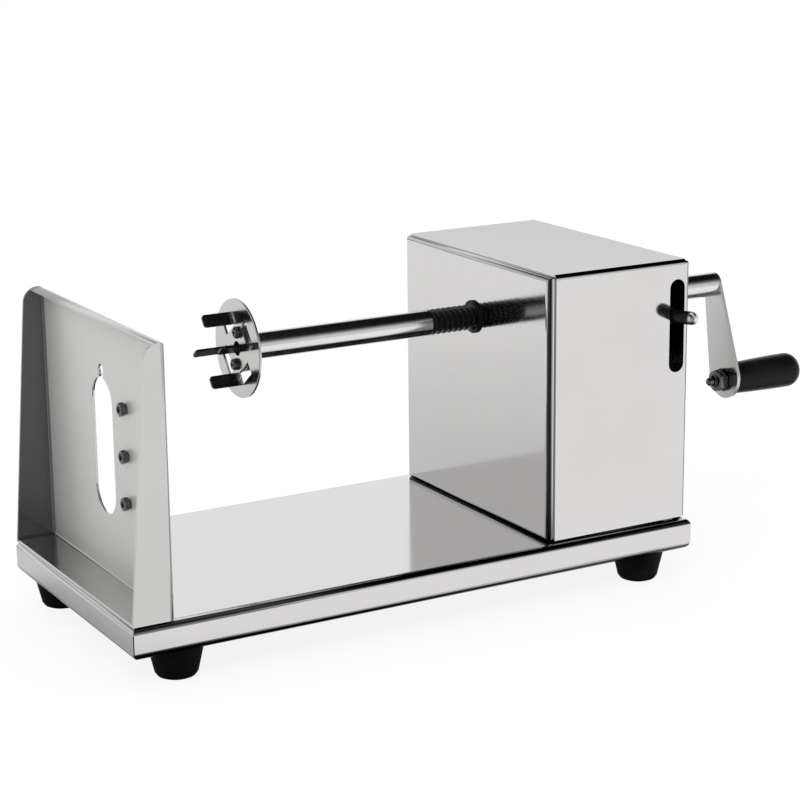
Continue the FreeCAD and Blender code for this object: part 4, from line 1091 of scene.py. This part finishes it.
for name, (size, direction) in NUTS.items():
    boxes = solids(name)
    long, flats = spans(boxes[0], direction)
    master = hexagon(flats, long, size["shank"])
    seats = [(seat(box, direction), corner_spin(box, direction)) for box in boxes]
    placed(master, seats, direction, name)

# %% The blade's nuts, each on a round boss
BOSS = 0.8
BOSS_RADIUS = 2.3

boxes = solids("blade_nuts")
long, flats = spans(boxes[0], LEFT)
bore = M3["shank"]
row = []
for box in boxes:
    foot = seat(box, LEFT)
    boss = turned([(bore, 0), (BOSS_RADIUS, 0), (BOSS_RADIUS, BOSS), (bore, BOSS), (bore, 0)])
    row.append(laid(boss, foot * MM, LEFT))
    nut = hexagon(flats, long - BOSS, bore)
    row.append(laid(nut, (foot + LEFT * BOSS) * MM, LEFT, corner_spin(box, LEFT)))
ridden(joined(row), "blade_nuts")
print("blade_nuts", len(boxes))

# %% [markdown]
# ## The grip's axle
#
# The axle is a shoulder bolt: a smooth journal for the grip with a groove for its snap ring, a
# collar against the arm, and a threaded stub that passes through the arm to the nut, where its
# end shows a turned pilot. Three sections that meet are simpler to read than one, so the pilot,
# the thread and the journal are made apart and joined.

# %% Grip axle
PILOT, PILOT_RADIUS, PILOT_BEVEL = 3.2, 2.1, 0.8
PILOT_OVERLAP = 0.5
COLLAR, COLLAR_BEVEL = 1.6, 0.3
AXLE_RADIUS, AXLE_BEVEL = 4.0, 0.6
GROOVE_DEPTH, GROOVE_WIDTH, RING_INSET = 0.7, 1, 3.0

low, high = in_mm("grip_axle")
length = high.x - low.x
face = in_mm("crank_arm")[1].x - low.x
pilot_end, collar_end = PILOT + PILOT_OVERLAP, face + COLLAR
ring_at = length - RING_INSET
collar, groove = (high.z - low.z) / 2, AXLE_RADIUS - GROOVE_DEPTH
stub = turned(
    [(0, 0), (PILOT_RADIUS - PILOT_BEVEL, 0), (PILOT_RADIUS, PILOT_BEVEL)]
    + [(PILOT_RADIUS, pilot_end), (0, pilot_end)]
)
screw = laid(threaded(M6["shank"], M6["pitch"], face - PILOT), Vector((0, 0, PILOT)) * MM, UP)
shoulder = turned(
    [(0, face), (collar - COLLAR_BEVEL, face), (collar, face + COLLAR_BEVEL)]
    + [(collar, collar_end - COLLAR_BEVEL), (collar - COLLAR_BEVEL, collar_end)]
    + [(AXLE_RADIUS, collar_end), (AXLE_RADIUS, ring_at), (groove, ring_at)]
    + [(groove, ring_at + GROOVE_WIDTH), (AXLE_RADIUS, ring_at + GROOVE_WIDTH)]
    + [(AXLE_RADIUS, length - AXLE_BEVEL), (AXLE_RADIUS - AXLE_BEVEL, length), (0, length)]
)
ridden(laid(joined([stub, screw, shoulder]), left_end("grip_axle"), RIGHT), "grip_axle")
print("grip axle", round(length, 1), "mm")

# %% [markdown]
# ## The return spring
#
# Five open coils between two hooks. A curve with a round bevel could be bent to this shape, but
# the coils are a thread like the lead screw's, wound from a round section. On the machine the lower
# hook moves with the lever and the upper one stays on its post, so the coils stretch; here the
# spring is built once, to the length it has in the imported model.

# %% Sections and hooks of wire
COIL_RADIUS = 3.6
WIRE_RADIUS = 0.6
WIRE_SIDES = 12
HOOK_TURN = 300
HOOK_STEPS = 36


def wire_section():
    """The wire's round section, standing beside the Z axis, selected in edit mode."""
    bpy.ops.object.select_all(action="DESELECT")
    bpy.ops.mesh.primitive_circle_add(
        vertices=WIRE_SIDES, radius=WIRE_RADIUS * MM, fill_type="NGON",
        location=(COIL_RADIUS * MM, 0, 0), rotation=(math.pi / 2, 0, 0),
    )
    bpy.ops.object.transform_apply(location=True, rotation=True, scale=True)
    bpy.ops.object.mode_set(mode="EDIT")
    bpy.ops.mesh.select_all(action="SELECT")
    return bpy.context.object


def hook():
    """An open loop of wire round the Z axis."""
    loop = wire_section()
    turn = math.radians(HOOK_TURN)
    bpy.ops.mesh.spin(steps=HOOK_STEPS, angle=turn, center=(0, 0, 0), axis=(0, 0, 1))
    closed_up()
    return loop


print("wire", WIRE_RADIUS * 2, "mm thick, on coils of", COIL_RADIUS * 2, "mm")

# %% Return spring
COILS = 5
COIL_STEPS = 28
WIDEST_HOLE = 40
TOWARD_USER = Vector((0, -1, 0))

low, high = in_mm("return_spring")
hook_rise = 2 * COIL_RADIUS
coil_low, coil_high = low.z + hook_rise, high.z - hook_rise
coils = wire_section()
bpy.ops.mesh.delete(type="ONLY_FACE")
bpy.ops.object.mode_set(mode="OBJECT")
wound(coils, (coil_high - coil_low) / COILS, COILS, COIL_STEPS)
bpy.ops.mesh.remove_doubles(threshold=CLOSE)
bpy.ops.mesh.fill_holes(sides=WIDEST_HOLE)
closed_up()
middle = Vector(((low.x + high.x) / 2, (low.y + high.y) / 2, 0))
inset = COIL_RADIUS - WIRE_RADIUS
spring = joined(
    [
        laid(coils, (middle + UP * coil_low) * MM, UP),
        laid(hook(), (middle + UP * (coil_low - inset)) * MM, TOWARD_USER),
        laid(hook(), (middle + UP * (coil_high + inset)) * MM, LEFT),
    ]
)
instead(spring, "return_spring")
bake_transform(spring)
print("spring", COILS, "coils from", round(coil_low, 1), "to", round(coil_high, 1), "mm")

# %% Measure the finished model
low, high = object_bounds()
print("visual model", [round(v / MM, 2) for v in high - low], "mm")
